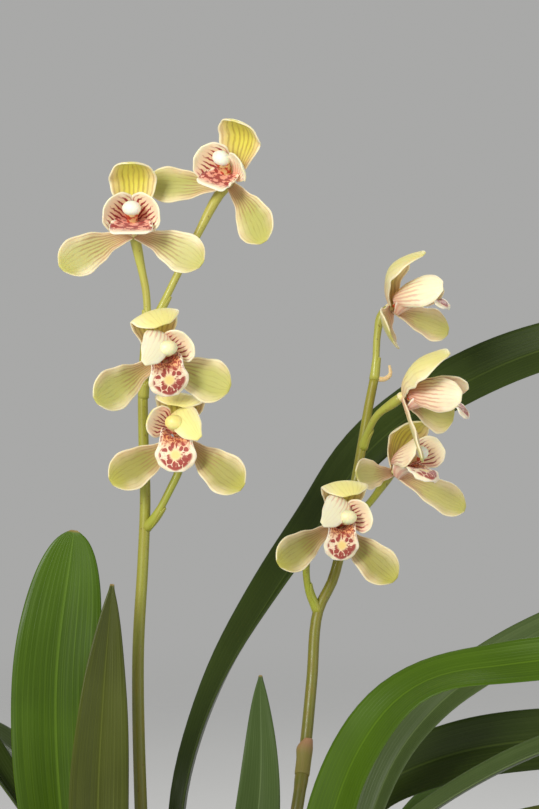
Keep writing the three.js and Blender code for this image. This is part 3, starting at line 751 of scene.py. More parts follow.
def sheath(name, grow, height, slant, side):
    """A dry sheath: an egg cut off on a slant, and given the thickness of paper."""
    made = egg(name, grow)
    open_mesh(made)
    bpy.ops.mesh.select_all(action="SELECT")
    bpy.ops.mesh.bisect(
        plane_co=(0, 0, height * MM),
        plane_no=(slant * math.cos(side), slant * math.sin(side), 1),
        clear_outer=True,
    )
    leave_edit_mode()
    modify(made, "SOLIDIFY", thickness=0.25 * MM, offset=-1)
    return made


straw = new_finish("dry_sheath", Roughness=0.8)
green_skin = new_finish("green_bulb", Roughness=0.5)
root_skin = new_finish("white_root", Roughness=0.75)


def wear_straw(piece):
    """Give a piece the bulb's two finishes, and show the dry one on all its faces."""
    wear(piece, green_skin, straw)
    for face in piece.data.polygons:
        face.material_index = 1


clump = []
for k, (x, y) in enumerate(BULBS):
    whole = [egg("bulb", 1.0)]
    wear(whole[0], green_skin, straw)
    for grow, height, slant in ((1.02, 4.5, 0.9), (1.045, -1, -0.7)):
        wrap = sheath("sheath", grow, height, slant, 1.3 * k)
        wear_straw(wrap)
        whole.append(wrap)
    one = join("bulb", whole)
    set_down(one, (x, y, BULB["middle"]), (0, 0, k), (1, 1, 1))
    clump.append(one)
print("pseudobulbs:", len(clump))

# %% Rhizome and roots
ROOTS = [
    [(-28, -7, 134), (-36, -12, 112), (-42, -20, 84), (-38, -28, 56)],
    [(-28, -7, 134), (-27, 2, 108), (-34, 14, 78), (-30, 22, 50)],
    [(-8, 5, 134), (-10, -4, 106), (-4, -14, 76), (-8, -24, 48)],
    [(14, -5, 134), (24, -14, 108), (30, -24, 80), (24, -34, 54)],
    [(24, 16, 134), (36, 18, 110), (42, 12, 82), (38, 2, 54)],
    [(24, 16, 134), (24, 30, 106), (16, 38, 78), (22, 30, 50)],
    [(-6, 26, 134), (-14, 36, 108), (-22, 38, 82), (-14, 32, 52)],
]
RHIZOME = [(-28, -7, 136), (-8, 5, 135), (14, -5, 136), (24, 16, 135), (-6, 26, 136)]


def link_radius(t):
    """The radius of the rhizome between two bulbs, which is pinched between its rings."""
    return 3.9 - 0.5 * math.sin(6 * math.pi * t) ** 2


for start, finish in zip(RHIZOME, RHIZOME[1:]):
    link = stem("rhizome", Route([start, finish]), link_radius, sides=14, steps=12)
    wear_straw(link)
    clump.append(link)
for points in ROOTS:
    root = stem("root", Route(points), lambda t: 2.1 * mix(1, 0.7, t), sides=10, steps=20)
    wear(root, root_skin)
    clump.append(root)
rootstock = join("pseudobulb_clump", clump)
bpy.ops.object.shade_smooth_by_angle(angle=math.radians(50))

# %% Bulb, sheath and root finishes
ribs = noise(green_skin, object_place(green_skin, (1, 1, 0.12)), 520, 3)
green_clouds = noise(green_skin, object_place(green_skin), 90)
green_colour = blend(green_skin, green_clouds, (0.13, 0.2, 0.03), (0.26, 0.31, 0.07))
finish_with(green_skin, green_colour, height=ribs, strength=0.4, distance=0.3)
fibres = noise(straw, object_place(straw, (1, 1, 0.06)), 1300, 4, 0.7)
straw_colour = blend(straw, ramp(straw, fibres, 0.35, 0.7), (0.15, 0.085, 0.035), (0.47, 0.35, 0.19))
finish_with(straw, straw_colour, height=fibres, strength=0.8, distance=0.3)
root_clouds = noise(root_skin, object_place(root_skin), 150, 4)
root_colour = blend(root_skin, root_clouds, (0.5, 0.44, 0.32), (0.68, 0.64, 0.55))
finish_with(root_skin, root_colour, height=noise(root_skin, object_place(root_skin), 800), strength=0.3)
place(rootstock, "rootstock")

# %% [markdown]
# ## Blades
# A leaf, a petal and a sheath are all thin blades. A learner would start each from a flat grid,
# and so does this: the grid's columns are first raised to a cross-section, such as a V for a
# keeled leaf, and then each row is resized, turned and moved to its station on the plant. The grid
# keeps its UV map through all this, so veins drawn in U and V follow the finished blade. Solidify
# gives it thickness, and Subdivision Surface rounds its edge.

# %% Thin blades from a grid
class Station:
    """Where one row of a blade goes: its place and axes, half-width and rise, in millimetres."""

    def __init__(self, centre, across, ahead, half, rise):
        self.centre, self.half, self.rise = centre, half, rise
        self.up = across.cross(ahead).normalized()
        axes = Matrix((across.normalized(), ahead.normalized(), self.up)).transposed()
        self.rotation = axes.to_euler()


def flat_grid(name, rows, columns):
    """A flat grid two units wide and two long, opened in edit mode: object, open mesh, rows of vertices."""
    leave_edit_mode()
    bpy.ops.object.select_all(action="DESELECT")
    bpy.ops.mesh.primitive_grid_add(x_subdivisions=columns, y_subdivisions=rows, size=2, calc_uvs=True)
    made = bpy.context.object
    made.name = name
    mesh = open_mesh(made)
    width = columns + 1
    return made, mesh, [mesh.verts[k * width : (k + 1) * width] for k in range(rows + 1)]


def select_only(vertices, chosen=True):
    for vertex in vertices:
        vertex.select = chosen


def shift(vertices, move):
    """Move some vertices by hand."""
    select_only(vertices)
    bpy.ops.transform.translate(value=move)
    select_only(vertices, False)


def blade(name, stations, columns, section, thickness, crimp=None, two_faced=False):
    """A thin blade. section(v) is the unit cross-section, and crimp(t, v) waves its margin in mm."""
    rows = len(stations) - 1
    made, mesh, lines = flat_grid(name, rows, columns)
    for j in range(columns + 1):
        v = 2 * j / columns - 1
        x, z = section(v)
        if abs(x - v) > 1e-6 or abs(z) > 1e-6:
            shift([line[j] for line in lines], (x - v, 0, z))
    for i, (line, stop) in enumerate(zip(lines, stations)):
        start = Vector((0, line[0].co.y, 0))
        select_only(line)
        bpy.ops.transform.resize(value=(stop.half * MM, 1, stop.rise * MM), center_override=start)
        turn(stop.rotation, start)
        bpy.ops.transform.translate(value=stop.centre * MM - start)
        select_only(line, False)
        for j in (0, 1, columns - 1, columns) if crimp else ():
            wave = crimp(i / rows, 2 * j / columns - 1)
            shift([line[j]], stop.up * wave * MM)
    leave_edit_mode()
    back = 1 if two_faced else 0
    if two_faced:
        made.data.materials.append(None)
        made.data.materials.append(None)
    modify(
        made, "SOLIDIFY", thickness=thickness * MM, offset=0, use_quality_normals=True,
        material_offset=back, material_offset_rim=back,
    )
    modify(made, "SUBSURF", levels=1, render_levels=1)
    pick(made)
    bpy.ops.object.shade_smooth()
    return made


# %% [markdown]
# ## Leaf finishes
# The leaves are smooth straps with fine parallel veins and a keel. Each vein is a ridge and a line
# of paler green, so one wave across U drives both. Each leaf keeps its own green, partly painted
# light and shade: bright or grey where it is lit, nearly black-green where it is in shade. The base
# fades to the pale yellow of the sheath, and the very tip dries to straw.

# %% Leaf materials
def leaf_finish(name, green, pale, veins=16, gloss=0.36, keel=0.5):
    """A strap leaf's green, its paler vein colour, its number of veins and its gloss."""
    material = new_finish(name, Roughness=gloss, Specular_IOR_Level=0.22)
    u, v, along_blade = blade_place(material, (60, 3, 1))
    wander = noise(material, stretched(material, along_blade, (0.05, 1, 1)), 1.5)
    shifted = maths(material, "MULTIPLY_ADD", wander, 0.02, u)
    wave = maths(material, "SINE", times(material, shifted, veins * math.tau))
    fine = maths(material, "SINE", times(material, shifted, 3.5 * veins * math.tau))
    lines = ramp(material, maths(material, "MULTIPLY_ADD", fine, 0.25, wave), 0.35, 1.1)
    streaks = noise(material, along_blade, 1.0, 4)
    clouds = noise(material, object_place(material), 28, 3)
    colour = blend(material, ramp(material, clouds, 0.3, 0.7), green, [0.72 * x for x in green])
    shown = ramp(material, streaks, 0.3, 0.7, 0.08, 0.34)
    colour = blend(material, times(material, lines, shown), colour, pale)
    colour = blend(material, ramp(material, streaks, 0.45, 0.8, 0, 0.4), colour, pale)
    middle = maths(material, "ABSOLUTE", maths(material, "SUBTRACT", u, 0.5))
    colour = blend(material, ramp(material, middle, 0.022, 0.008, 0, keel), colour, pale)
    colour = blend(material, ramp(material, middle, 0.485, 0.5, 0, 0.5), colour, pale)
    colour = blend(material, ramp(material, v, 0.16, 0.0), colour, (0.30, 0.32, 0.09))
    colour = blend(material, ramp(material, v, 0.985, 1.0), colour, (0.32, 0.22, 0.08))
    rough = ramp(material, streaks, 0.3, 0.8, gloss - 0.05, gloss + 0.12)
    ridges = maths(material, "MULTIPLY_ADD", streaks, 0.5, lines)
    return finish_with(material, colour, rough, ridges, 0.25, 0.12)


# The bright and grey greens are partly painted light, and the dark green is partly painted shade.
LEAF_FINISHES = {
    "bright": leaf_finish("bright_leaf", (0.052, 0.108, 0.002), (0.098, 0.18, 0.006)),
    "olive": leaf_finish("olive_leaf", (0.062, 0.076, 0.007), (0.105, 0.125, 0.016)),
    "dark": leaf_finish("dark_leaf", (0.032, 0.054, 0.005), (0.056, 0.084, 0.011), keel=0.8),
    "grey": leaf_finish("grey_leaf", (0.062, 0.098, 0.024), (0.12, 0.165, 0.055), gloss=0.44),
    "blue": leaf_finish("blue_leaf", (0.048, 0.082, 0.016), (0.10, 0.145, 0.045), gloss=0.44, keel=0.9),
}
print("leaf finishes:", ", ".join(LEAF_FINISHES))

# %% [markdown]
# ## Leaves
# Fifteen leaves rise from the bulbs. Each has its own route, width and fold, taken from the
# photograph where it shows the leaf, and the clump is filled out all round where it does not. A
# blade is widest near its middle, folded like a V where it leaves the bulb, and opens further up.

# %% Leaf shapes
LEAVES = {
    "leaf_left_round": dict(finish="bright", width=25, widest=0.62, tip=0.5, fold=[55, 16, 6, 4],
        faces=[(0.3, -1, 0), (0.1, -1, 0), (0, -1, 0.1)],
        route=[(-31, -3, 147), (-34, -3, 170), (-40.5, -3, 200), (-44.5, -3, 228), (-45.5, -3, 262),
            (-40.5, -2, 303)]),
    "leaf_left_pointed": dict(finish="olive", width=17.5, widest=0.55, tip=0.8, fold=[55, 26, 14, 16],
        faces=[(0.5, -1, 0), (0.25, -1, 0), (0.2, -1, 0)],
        route=[(-27, -13, 147), (-29, -15, 170), (-32, -16, 200), (-33, -16, 225), (-31.5, -16, 258),
            (-29, -15, 289)]),
    "leaf_tall_arch": dict(finish="dark", width=20, widest=0.62, tip=0.8, fold=[60, 42, 32, 20, 18, 20],
        faces=[(-1, -0.45, 0), (-0.9, -0.6, 0.2), (-0.6, -0.8, 0.4), (-0.2, -0.9, 0.5), (0, -0.7, 0.8)],
        route=[(-10, 11, 148), (-10.5, 11, 185), (-10, 12, 225), (0, 27, 256), (15.3, 42, 281),
            (31, 58, 303), (43.6, 68, 322), (67.4, 75, 340), (98.4, 76, 354.5), (132, 70, 361),
            (166, 62, 357), (194, 54, 343)]),
    "leaf_centre_short": dict(finish="blue", width=14.5, widest=0.55, tip=0.75, fold=[55, 34, 20, 20],
        faces=[(0.2, -1, 0), (-0.2, -1, 0)],
        route=[(-4, 0, 148), (2, -3, 175), (8, -5, 205), (11.5, -6, 232), (11.5, -6, 263)]),
    "leaf_bright_arch": dict(finish="bright", width=16, widest=0.38, tip=0.85, fold=[50, 22, 12, 10, 14, 20],
        faces=[(-0.4, -1, 0), (-0.4, -1, 0), (-0.4, -1, 0.1), (-0.5, -0.8, 0.5), (-0.2, -0.55, 0.85),
            (0, -0.8, 0.6), (0, -0.6, 0.8), (0, -0.5, 0.9), (0, -0.4, 1)],
        route=[(17, -12, 147), (23, -17, 188), (31, -21, 226), (38.5, -26, 246), (48.5, -29, 259.5),
            (60, -31, 266), (73, -32, 268), (87, -33, 270), (118, -39, 273), (152, -46, 265),
            (184, -53, 247)]),
    "leaf_right_grey": dict(finish="grey", width=15, widest=0.5, tip=0.85, fold=[55, 30, 18, 18],
        faces=[(-0.8, -0.6, 0), (-0.4, -0.8, 0.6), (0, -0.7, 0.8)],
        route=[(28, 12, 147), (37, 18, 195), (50, 26, 233), (64, 30, 250), (76, 31, 259),
            (93, 33, 269), (126, 37, 281), (162, 40, 281), (194, 42, 266)]),
    "leaf_right_dark": dict(finish="dark", width=20, widest=0.5, tip=0.85, fold=[55, 28, 14, 14],
        faces=[(-0.6, -0.9, 0), (-0.2, -1, 0.3), (0, -0.9, 0.4)],
        route=[(29, 20, 147), (34, 36, 195), (44, 47, 220), (65.4, 50, 231), (95, 53, 236),
            (130, 58, 235), (164, 63, 224), (190, 66, 205)]),
    "leaf_right_low": dict(finish="grey", width=12, widest=0.5, tip=0.85, fold=[60, 34, 18, 18],
        faces=[(-0.9, -0.3, 0), (-0.5, -0.2, 0.9), (0, -0.15, 1)],
        route=[(21, 0, 147), (31, -3, 184), (43, -15, 211), (55.7, -26, 227), (86, -31, 245),
            (120, -40, 256), (156, -54, 255), (190, -72, 236)]),
    "leaf_right_front": dict(finish="olive", width=14, widest=0.5, tip=0.85, fold=[60, 32, 20, 20],
        faces=[(-0.6, 0.6, 0), (-0.4, 0.1, 1), (0, -0.2, 1)],
        route=[(13.4, -14.5, 147), (31, -35, 190), (55, -46, 218), (79, -52, 230), (108, -64, 235),
            (142, -82, 224), (170, -98, 200)]),
    "leaf_left_back": dict(finish="dark", width=13.5, widest=0.5, tip=0.85, fold=[60, 36, 20, 20],
        faces=[(1, -0.3, 0), (0.7, -0.6, 0.5), (0.2, -0.5, 0.9)],
        route=[(-33.4, 0.4, 147), (-44, 9, 184), (-54, 15, 216), (-63, 17, 229.5), (-84, 21, 258),
            (-118, 27, 276), (-156, 31, 272), (-190, 34, 246)]),
    "leaf_left_front": dict(finish="bright", width=14, widest=0.5, tip=0.85, fold=[60, 34, 20, 20],
        faces=[(0.7, 0.7, 0), (0.4, 0.4, 1), (0, 0, 1)],
        route=[(-32, -12.3, 147), (-47, -32, 183), (-78, -66, 212), (-112, -98, 216), (-142, -124, 196)]),
    "leaf_front": dict(finish="olive", width=14, widest=0.5, tip=0.85, fold=[60, 34, 20, 20],
        faces=[(0, 1, 0), (-0.1, 0.5, 1), (0, 0, 1)],
        route=[(8.8, -9.8, 147), (12, -42, 186), (18, -82, 211), (26, -118, 211), (34, -148, 190)]),
    "leaf_back_left": dict(finish="dark", width=15, widest=0.5, tip=0.85, fold=[60, 34, 20, 20],
        faces=[(0.6, -0.7, 0), (0.4, -0.4, 1), (0, 0, 1)],
        route=[(-15, 11, 147), (-38, 50, 194), (-72, 96, 228), (-108, 132, 233), (-136, 158, 212)]),
    "leaf_back": dict(finish="olive", width=13, widest=0.5, tip=0.85, fold=[60, 34, 20, 20],
        faces=[(0, -1, 0), (0, -0.4, 1), (0, 0, 1)],
        route=[(-6, 33, 147), (0, 64, 186), (8, 104, 200), (18, 142, 194), (26, 170, 172)]),
    "leaf_back_right": dict(finish="bright", width=14, widest=0.5, tip=0.85, fold=[60, 34, 20, 20],
        faces=[(-0.7, -0.7, 0), (-0.4, -0.4, 1), (0, 0, 1)],
        route=[(26, 22, 148), (48, 60, 194), (86, 104, 222), (124, 138, 222), (154, 162, 198)]),
}


def leaf_outline(t, width, widest, tip):
    """The half-width at t, as a share of the widest: narrow sheath, full blade, tapering tip."""
    if t < widest:
        return mix(5 / width, 1, math.sin(math.pi / 2 * t / widest) ** 1.5)
    past = (t - widest) / (1 - widest)
    return max(0.07, (1 - past ** (1.9 if tip > 0.6 else 3.2)) ** tip)


LEAF_ROWS = 40


def leaf(name, finish, width, widest, tip, fold, faces, route):
    """A strap leaf: fold is its half-opening in degrees, and faces are the ways its upper side looks."""
    path = Route(route)
    draw = random.Random(name)
    beat, phase = draw.uniform(3, 5), draw.uniform(0, 6)
    stations = []
    for i in range(LEAF_ROWS + 1):
        t = 1 - (1 - i / LEAF_ROWS) ** 1.25
        look = Vector([spread([face[k] for face in faces], t) for k in range(3)])
        ahead = path.ahead(t)
        across = ahead.cross(look).normalized()
        half = width / 2 * leaf_outline(t, width, widest, tip)
        opening = math.radians(spread(fold, t))
        flat, rise = half * math.cos(opening), half * math.sin(opening)
        stations.append(Station(path.at(t), across, ahead, flat, rise))

    def margin(t, v):
        """A wave of the margin, in millimetres, that fades out at both ends of the leaf."""
        wave = math.sin(beat * math.tau * t + phase + 1.5 * v)
        return 0.35 * v * abs(v) * wave * ease(4 * t) * ease(4 - 4 * t)

    made = blade(name, stations, 8, lambda v: (v, abs(v)), 0.75, margin)
    wear(made, LEAF_FINISHES[finish])
    place(made, name)
    return made


for leaf_name, shape in LEAVES.items():
    made = leaf(leaf_name, **shape)
    made.name = leaf_name.replace("leaf_", "strap_leaf_")

# %% [markdown]
# ## Flower finishes
# Sepals and petals are thin, soft and a little see-through, so their shader lets some light scatter
# below the surface. Their colour runs from yellow-green in the middle to cream at the margin, with
# red-brown veins that start at the base and break up towards the tip. In U and V these veins are
# straight lines of constant U, which draw together at both ends of the blade as the real ones do.

# %% Veined blades of the flower
RED = (0.34, 0.012, 0.025)
CREAM = (0.93, 0.82, 0.56)


def vein_lines(material, u, v, count, thin, wander, seed):
    """Lines of constant U that wander a little and keep to the given thinness."""
    place_on = add(material, "ShaderNodeCombineXYZ", {0: u, 1: v, 2: seed}).outputs[0]
    drift = noise(material, place_on, 6.0, 2)
    moved = maths(material, "MULTIPLY_ADD", maths(material, "SUBTRACT", drift, 0.5), wander, u)
    from_middle = maths(material, "SUBTRACT", moved, 0.5)
    wave = maths(material, "COSINE", times(material, from_middle, count * math.tau))
    return ramp(material, wave, thin, 1.0)


def tepal_finish(
    name, middle, margin, tip, base, vein, red_reach, red, lines, seed=0.0, count=9, rim=CREAM,
):
    """A sepal or petal: the colours of its parts, and how far and how strongly its red veins show."""
    material = new_finish(
        name, Roughness=0.5, Subsurface_Weight=0.25, Subsurface_Scale=0.0012, Sheen_Weight=0.1,
        Specular_IOR_Level=0.35,
    )
    material.node_tree.nodes["Principled BSDF"].inputs["Subsurface Radius"].default_value = (1.0, 0.7, 0.3)
    u, v, cells = blade_place(material, (70, 90, 1))
    out = times(material, maths(material, "ABSOLUTE", maths(material, "SUBTRACT", u, 0.5)), 2)
    where = object_place(material)
    clouds = noise(material, where, 230, 3)
    blush = noise(material, where, 90, 2)
    edge_share = ramp(material, maths(material, "MULTIPLY_ADD", clouds, 0.45, out), 0.55, 1.3)
    edge_colour = blend(material, ramp(material, blush, 0.46, 0.66, 0, 0.6), margin, base)
    colour = blend(material, times(material, edge_share, 0.85), middle, edge_colour)
    colour = blend(material, ramp(material, v, 0.75, 1.0, 0, 0.8), colour, tip)
    low = ramp(material, maths(material, "MULTIPLY_ADD", clouds, 0.25, v), 0.62, 0.18)
    colour = blend(material, times(material, low, 0.75), colour, base)
    fine = vein_lines(material, u, v, count, 0.45, 0.09, seed)
    shown = ramp(material, noise(material, where, 330, 2), 0.35, 0.65, 0.25 * lines, lines)
    colour = blend(material, times(material, fine, shown), colour, vein, "MULTIPLY")
    limit = maths(material, "MULTIPLY_ADD", v, 1.5, -0.75)
    wave = vein_lines(material, u, v, count, -1.0, 0.10, seed + 3)
    wave = maths(material, "MULTIPLY_ADD", wave, 2.0, -1.0)
    streaks = ramp(material, maths(material, "SUBTRACT", wave, limit), 0.1, 0.8)
    broken = noise(material, stretched(material, cells, (0.2, 0.08, 1)), 1.0, 2)
    reach = maths(material, "MULTIPLY_ADD", maths(material, "SUBTRACT", broken, 0.5), 0.5, v)
    streaks = times(material, streaks, ramp(material, reach, red_reach, 0.7 * red_reach))
    inner = ramp(material, out, 0.98, 0.78)
    streaks = times(material, times(material, streaks, inner), red)
    colour = blend(material, streaks, colour, vein)
    colour = blend(material, ramp(material, out, 0.88, 0.99, 0, 0.8), colour, rim)
    ridges = maths(material, "MULTIPLY_ADD", fine, -0.6, noise(material, cells, 1.0, 2))
    return finish_with(material, colour, ramp(material, clouds, 0.3, 0.7, 0.42, 0.56), ridges, 0.3, 0.12)


TIP_GREEN, SOFT_BROWN = (0.52, 0.50, 0.12), (0.36, 0.16, 0.08)
TEPALS = {
    "sepal_pale": tepal_finish(
        "pale_sepal", (0.56, 0.53, 0.20), CREAM, TIP_GREEN, (0.66, 0.40, 0.24), SOFT_BROWN, red_reach=0.75,
        red=0.5, lines=0.2, seed=1.3,
    ),
    "sepal_green": tepal_finish(
        "green_sepal", (0.48, 0.47, 0.13), (0.86, 0.73, 0.45), TIP_GREEN, (0.64, 0.42, 0.24), SOFT_BROWN,
        red_reach=0.62, red=0.45, lines=0.18,
    ),
    "sepal_olive": tepal_finish(
        "olive_sepal", (0.36, 0.33, 0.08), (0.80, 0.66, 0.40), (0.46, 0.44, 0.07), (0.58, 0.36, 0.20),
        SOFT_BROWN, red_reach=0.62, red=0.4, lines=0.2, seed=8.8,
    ),
    "sepal_rosy": tepal_finish(
        "rosy_sepal", (0.56, 0.52, 0.17), (0.90, 0.72, 0.48), TIP_GREEN, (0.74, 0.42, 0.28), SOFT_BROWN,
        red_reach=0.5, red=0.35, lines=0.14, seed=2.1,
    ),
    "hood_inside": tepal_finish(
        "hood_inside", (0.74, 0.68, 0.11), (0.88, 0.68, 0.43), (0.62, 0.64, 0.06), (0.72, 0.50, 0.26),
        (0.34, 0.19, 0.05), red_reach=0.95, red=0.34, lines=0.35, seed=4.1,
    ),
    "hood_outside": tepal_finish(
        "hood_outside", (0.84, 0.76, 0.28), (0.92, 0.82, 0.50), (0.80, 0.72, 0.24), (0.78, 0.52, 0.30),
        (0.50, 0.30, 0.12), red_reach=0.4, red=0.3, lines=0.15, seed=5.3,
    ),
    "petal_inside": tepal_finish(
        "petal_inside", (0.94, 0.74, 0.50), (0.96, 0.88, 0.64), (0.96, 0.88, 0.62), (0.78, 0.20, 0.14), RED,
        red_reach=0.86, red=0.97, lines=0.05, seed=7.7, rim=(0.97, 0.90, 0.68),
    ),
    "petal_outside": tepal_finish(
        "petal_outside", (0.96, 0.88, 0.60), (0.97, 0.91, 0.70), (0.96, 0.88, 0.60), (0.88, 0.50, 0.36),
        (0.72, 0.30, 0.22), count=7, red_reach=0.66, red=0.5, lines=0.10, seed=9.2,
    ),
    "petal_rosy": tepal_finish(
        "rosy_petal", (0.93, 0.74, 0.50), (0.96, 0.86, 0.62), (0.96, 0.88, 0.60), (0.66, 0.24, 0.16),
        (0.50, 0.13, 0.08), red_reach=0.75, red=0.5, lines=0.12, seed=3.4,
    ),
    "lip_outside": tepal_finish(
        "lip_outside", (0.95, 0.84, 0.66), (0.96, 0.88, 0.70), (0.96, 0.88, 0.70), (0.88, 0.50, 0.36),
        (0.60, 0.10, 0.08), count=5, red_reach=0.5, red=0.3, lines=0.05, seed=6.6, rim=(0.97, 0.90, 0.72),
    ),
}
print("flower finishes:", ", ".join(TEPALS))

# %% [markdown]
# The lip is the showiest part: cream, with an orange throat and dark red spots round a paler middle.
# The spots are cells of a Voronoi texture drawn in polar form, by the distance and the angle from the
# middle of the lip's front lobe, so they point outwards as the real ones do, and each cell keeps its
# own size.

# %% Lip finish
LIP_WIDTH, LIP_LENGTH = 11, 16
LIP_CREAM = (0.94, 0.80, 0.56)


def lip_finish(name, seed, centre=0.70, throat_end=0.62, throat=(0.86, 0.40, 0.17), grain=0.75):
    """Cream with red spots. centre is the place of the pale middle along the lip."""
    material = new_finish(
        name, Roughness=0.55, Subsurface_Weight=0.2, Subsurface_Scale=0.0012, Sheen_Weight=0.2,
        Specular_IOR_Level=0.3,
    )
    u, v, crinkles = blade_place(material, (24, 34, 1))
    side = times(material, maths(material, "SUBTRACT", u, 0.5), LIP_WIDTH)
    down = times(material, maths(material, "SUBTRACT", v, centre), LIP_LENGTH)
    spread_out = maths(
        material, "SQRT",
        maths(material, "ADD", maths(material, "POWER", side, 2.0), maths(material, "POWER", down, 2.0)),
    )
    angle = maths(material, "ARCTAN2", side, down)
    around = times(material, angle, 2.3)
    outwards = times(material, spread_out, 0.52)
    polar = add(material, "ShaderNodeCombineXYZ", {0: around, 1: outwards, 2: seed}).outputs[0]
    cells = add(material, "ShaderNodeTexVoronoi", {"Vector": polar, "Scale": 1.0, "Randomness": 0.75})
    size = add(material, "ShaderNodeSeparateColor", {0: cells.outputs["Color"]}).outputs[0]
    ragged = noise(material, crinkles, 1.2, 2)
    edge = maths(material, "MULTIPLY_ADD", ragged, 0.22, cells.outputs["Distance"])
    dot = maths(material, "SUBTRACT", maths(material, "MULTIPLY_ADD", size, 0.26, 0.50), edge)
    ring_start = ramp(material, spread_out, 1.1, 1.9)
    ring = times(material, ring_start, ramp(material, spread_out, 4.7, 3.9))
    heavy = maths(material, "MULTIPLY_ADD", ramp(material, down, -2.0, 2.5), 0.18, dot)
    spots = times(material, ramp(material, heavy, 0.0, 0.07), ring)
    in_throat = ramp(material, v, throat_end, throat_end - 0.2)
    grains = ramp(material, noise(material, crinkles, grain, 3), 0.47, 0.53)
    speckle = times(material, grains, in_throat)
    colour = blend(material, ramp(material, spread_out, 2.4, 0.6), LIP_CREAM, (0.90, 0.66, 0.24))
    pink = ramp(material, ragged, 0.35, 0.7, 0, 0.5)
    colour = blend(material, times(material, ring, pink), colour, (0.80, 0.36, 0.26))
    colour = blend(material, in_throat, colour, throat)
    rim = ramp(material, maths(material, "ABSOLUTE", side), 4.4, 5.0)
    colour = blend(material, rim, colour, (0.95, 0.84, 0.62))
    colour = blend(material, ramp(material, v, 0.93, 0.98), colour, (0.96, 0.86, 0.66))
    marks = times(material, maths(material, "MAXIMUM", spots, speckle), 0.92)
    colour = blend(material, marks, colour, (0.33, 0.014, 0.012))
    height = maths(material, "MULTIPLY_ADD", spots, 0.5, ragged)
    return finish_with(material, colour, None, height, 0.4, 0.15)


lip_skin = lip_finish("spotted_lip", 0.0)
lip_trough = lip_finish("deep_lip", 5.0, centre=1.3, throat_end=0.96, throat=(0.88, 0.42, 0.30), grain=0.24)
column_skin = new_finish("column", Roughness=0.45, Subsurface_Weight=0.2, Subsurface_Scale=0.001)
freckles = ramp(column_skin, noise(column_skin, object_place(column_skin), 700, 2), 0.46, 0.56)
finish_with(column_skin, blend(column_skin, freckles, (0.84, 0.66, 0.30), (0.55, 0.07, 0.03)))


def cap_finish(name, shade, light):
    """A smooth, waxy anther cap."""
    material = new_finish(name, Roughness=0.4, Subsurface_Weight=0.3, Subsurface_Scale=0.0012)
    where = object_place(material)
    colour = blend(material, noise(material, where, 300, 2), shade, light)
    return finish_with(material, colour, height=noise(material, where, 900, 2), strength=0.2)


CAPS = {
    "white": cap_finish("white_cap", (0.95, 0.88, 0.66), (0.97, 0.95, 0.84)),
    "cream": cap_finish("cream_cap", (0.94, 0.80, 0.42), (0.97, 0.90, 0.62)),
    "yellow": cap_finish("yellow_cap", (0.86, 0.66, 0.14), (0.94, 0.82, 0.36)),
}

# %% [markdown]
# ## Parts of a bloom
# A bloom has three sepals, two petals, a lip and a column. In a bloom's own frame it looks along
# -Y with +Z up. Each part leaves the middle at an angle round that axis, `turn`, which `sweep` adds
# to on the way, and leans forward out of the bloom's plane by an angle that changes along its
# length. One set of shapes serves all eight blooms, and each bloom changes only what its own
# attitude in the photograph asks for.

# %% Shapes of sepals, petals and lip
PETAL = dict(
    lean=[(0, 30), (0.5, 52), (1, 62)], length=11.8, sweep=0, cup=[(0, 0.4), (0.5, 0.35), (1, 0.2)],
    half=[(0, 1.3), (0.3, 3.2), (0.62, 5.4), (0.85, 4.9), (1, 2.4)],
)
SEPAL = dict(
    lean=[(0, 14), (0.6, 20), (1, 24)], length=23, sweep=0, cup=[(0, 0.5), (0.4, 0.3), (1, 0.12)],
    half=[(0, 1.5), (0.25, 2.6), (0.5, 4.8), (0.74, 6), (0.9, 4.8), (1, 1)],
)
ORGANS = {
    "dorsal": dict(
        SEPAL, turn=90, start=(0, -0.4, 0.6), length=25, lean=[(0, -4), (0.35, 22), (0.7, 72), (1, 104)],
        half=[(0, 1.8), (0.22, 4.3), (0.48, 6.8), (0.7, 7.4), (0.88, 5.6), (1, 0.8)],
        cup=[(0, 0.7), (0.35, 0.6), (0.7, 0.4), (1, 0.1)],
    ),
    "left": dict(SEPAL, turn=212, start=(-0.6, -0.4, -0.4)),
    "right": dict(SEPAL, turn=-32, start=(0.6, -0.4, -0.4)),
    "petal_left": dict(PETAL, turn=138, start=(-0.9, -2.7, 2.4)),
    "petal_right": dict(PETAL, turn=42, start=(0.9, -2.7, 2.4)),
    "lip": dict(
        turn=-90, start=(0, -2.3, -2.5), length=15.2, sweep=0,
        lean=[(0, 110), (0.28, 102), (0.44, 44), (0.58, 6), (1, -20)],
        half=[(0, 1.5), (0.14, 3.4), (0.34, 4.6), (0.46, 4.5), (0.7, 5.9), (0.88, 5), (1, 2.2)],
        cup=[(0, 0.6), (0.2, 0.9), (0.4, 0.5), (0.56, 0.05), (1, -0.3)],
    ),
}
FOLDED = dict(
    lean=[(0, 20), (0.2, 50), (0.36, 110), (0.5, 150), (1, 165)], length=20,
    cup=[(0, 0.3), (0.5, 0.3), (1, 0.1)], half=[(0, 1.6), (0.25, 3.2), (0.55, 4.3), (0.8, 3.6), (1, 0.9)],
)
FOLDED_HOOD = dict(
    lean=[(0, -4), (0.35, 12), (0.6, 54), (0.74, 120), (1, 150)], length=22.6,
    half=[(0, 1.8), (0.22, 4.6), (0.45, 6.6), (0.66, 7.2), (0.84, 6.6), (0.95, 4.6), (1, 2.2)],
    cup=[(0, 0.7), (0.35, 0.5), (0.66, 0.25), (1, 0.15)],
)
BROAD = dict(
    lean=[(0, 30), (0.5, 52), (1, 66)], length=11.2,
    half=[(0, 1.6), (0.25, 4.6), (0.5, 6), (0.8, 5.4), (1, 2)],
)
SIDEWAYS = dict(
    lean=[(0, 60), (0.4, 78), (1, 92)], length=18,
    half=[(0, 1.4), (0.3, 3.4), (0.6, 4.4), (0.85, 3.7), (1, 1.2)],
)
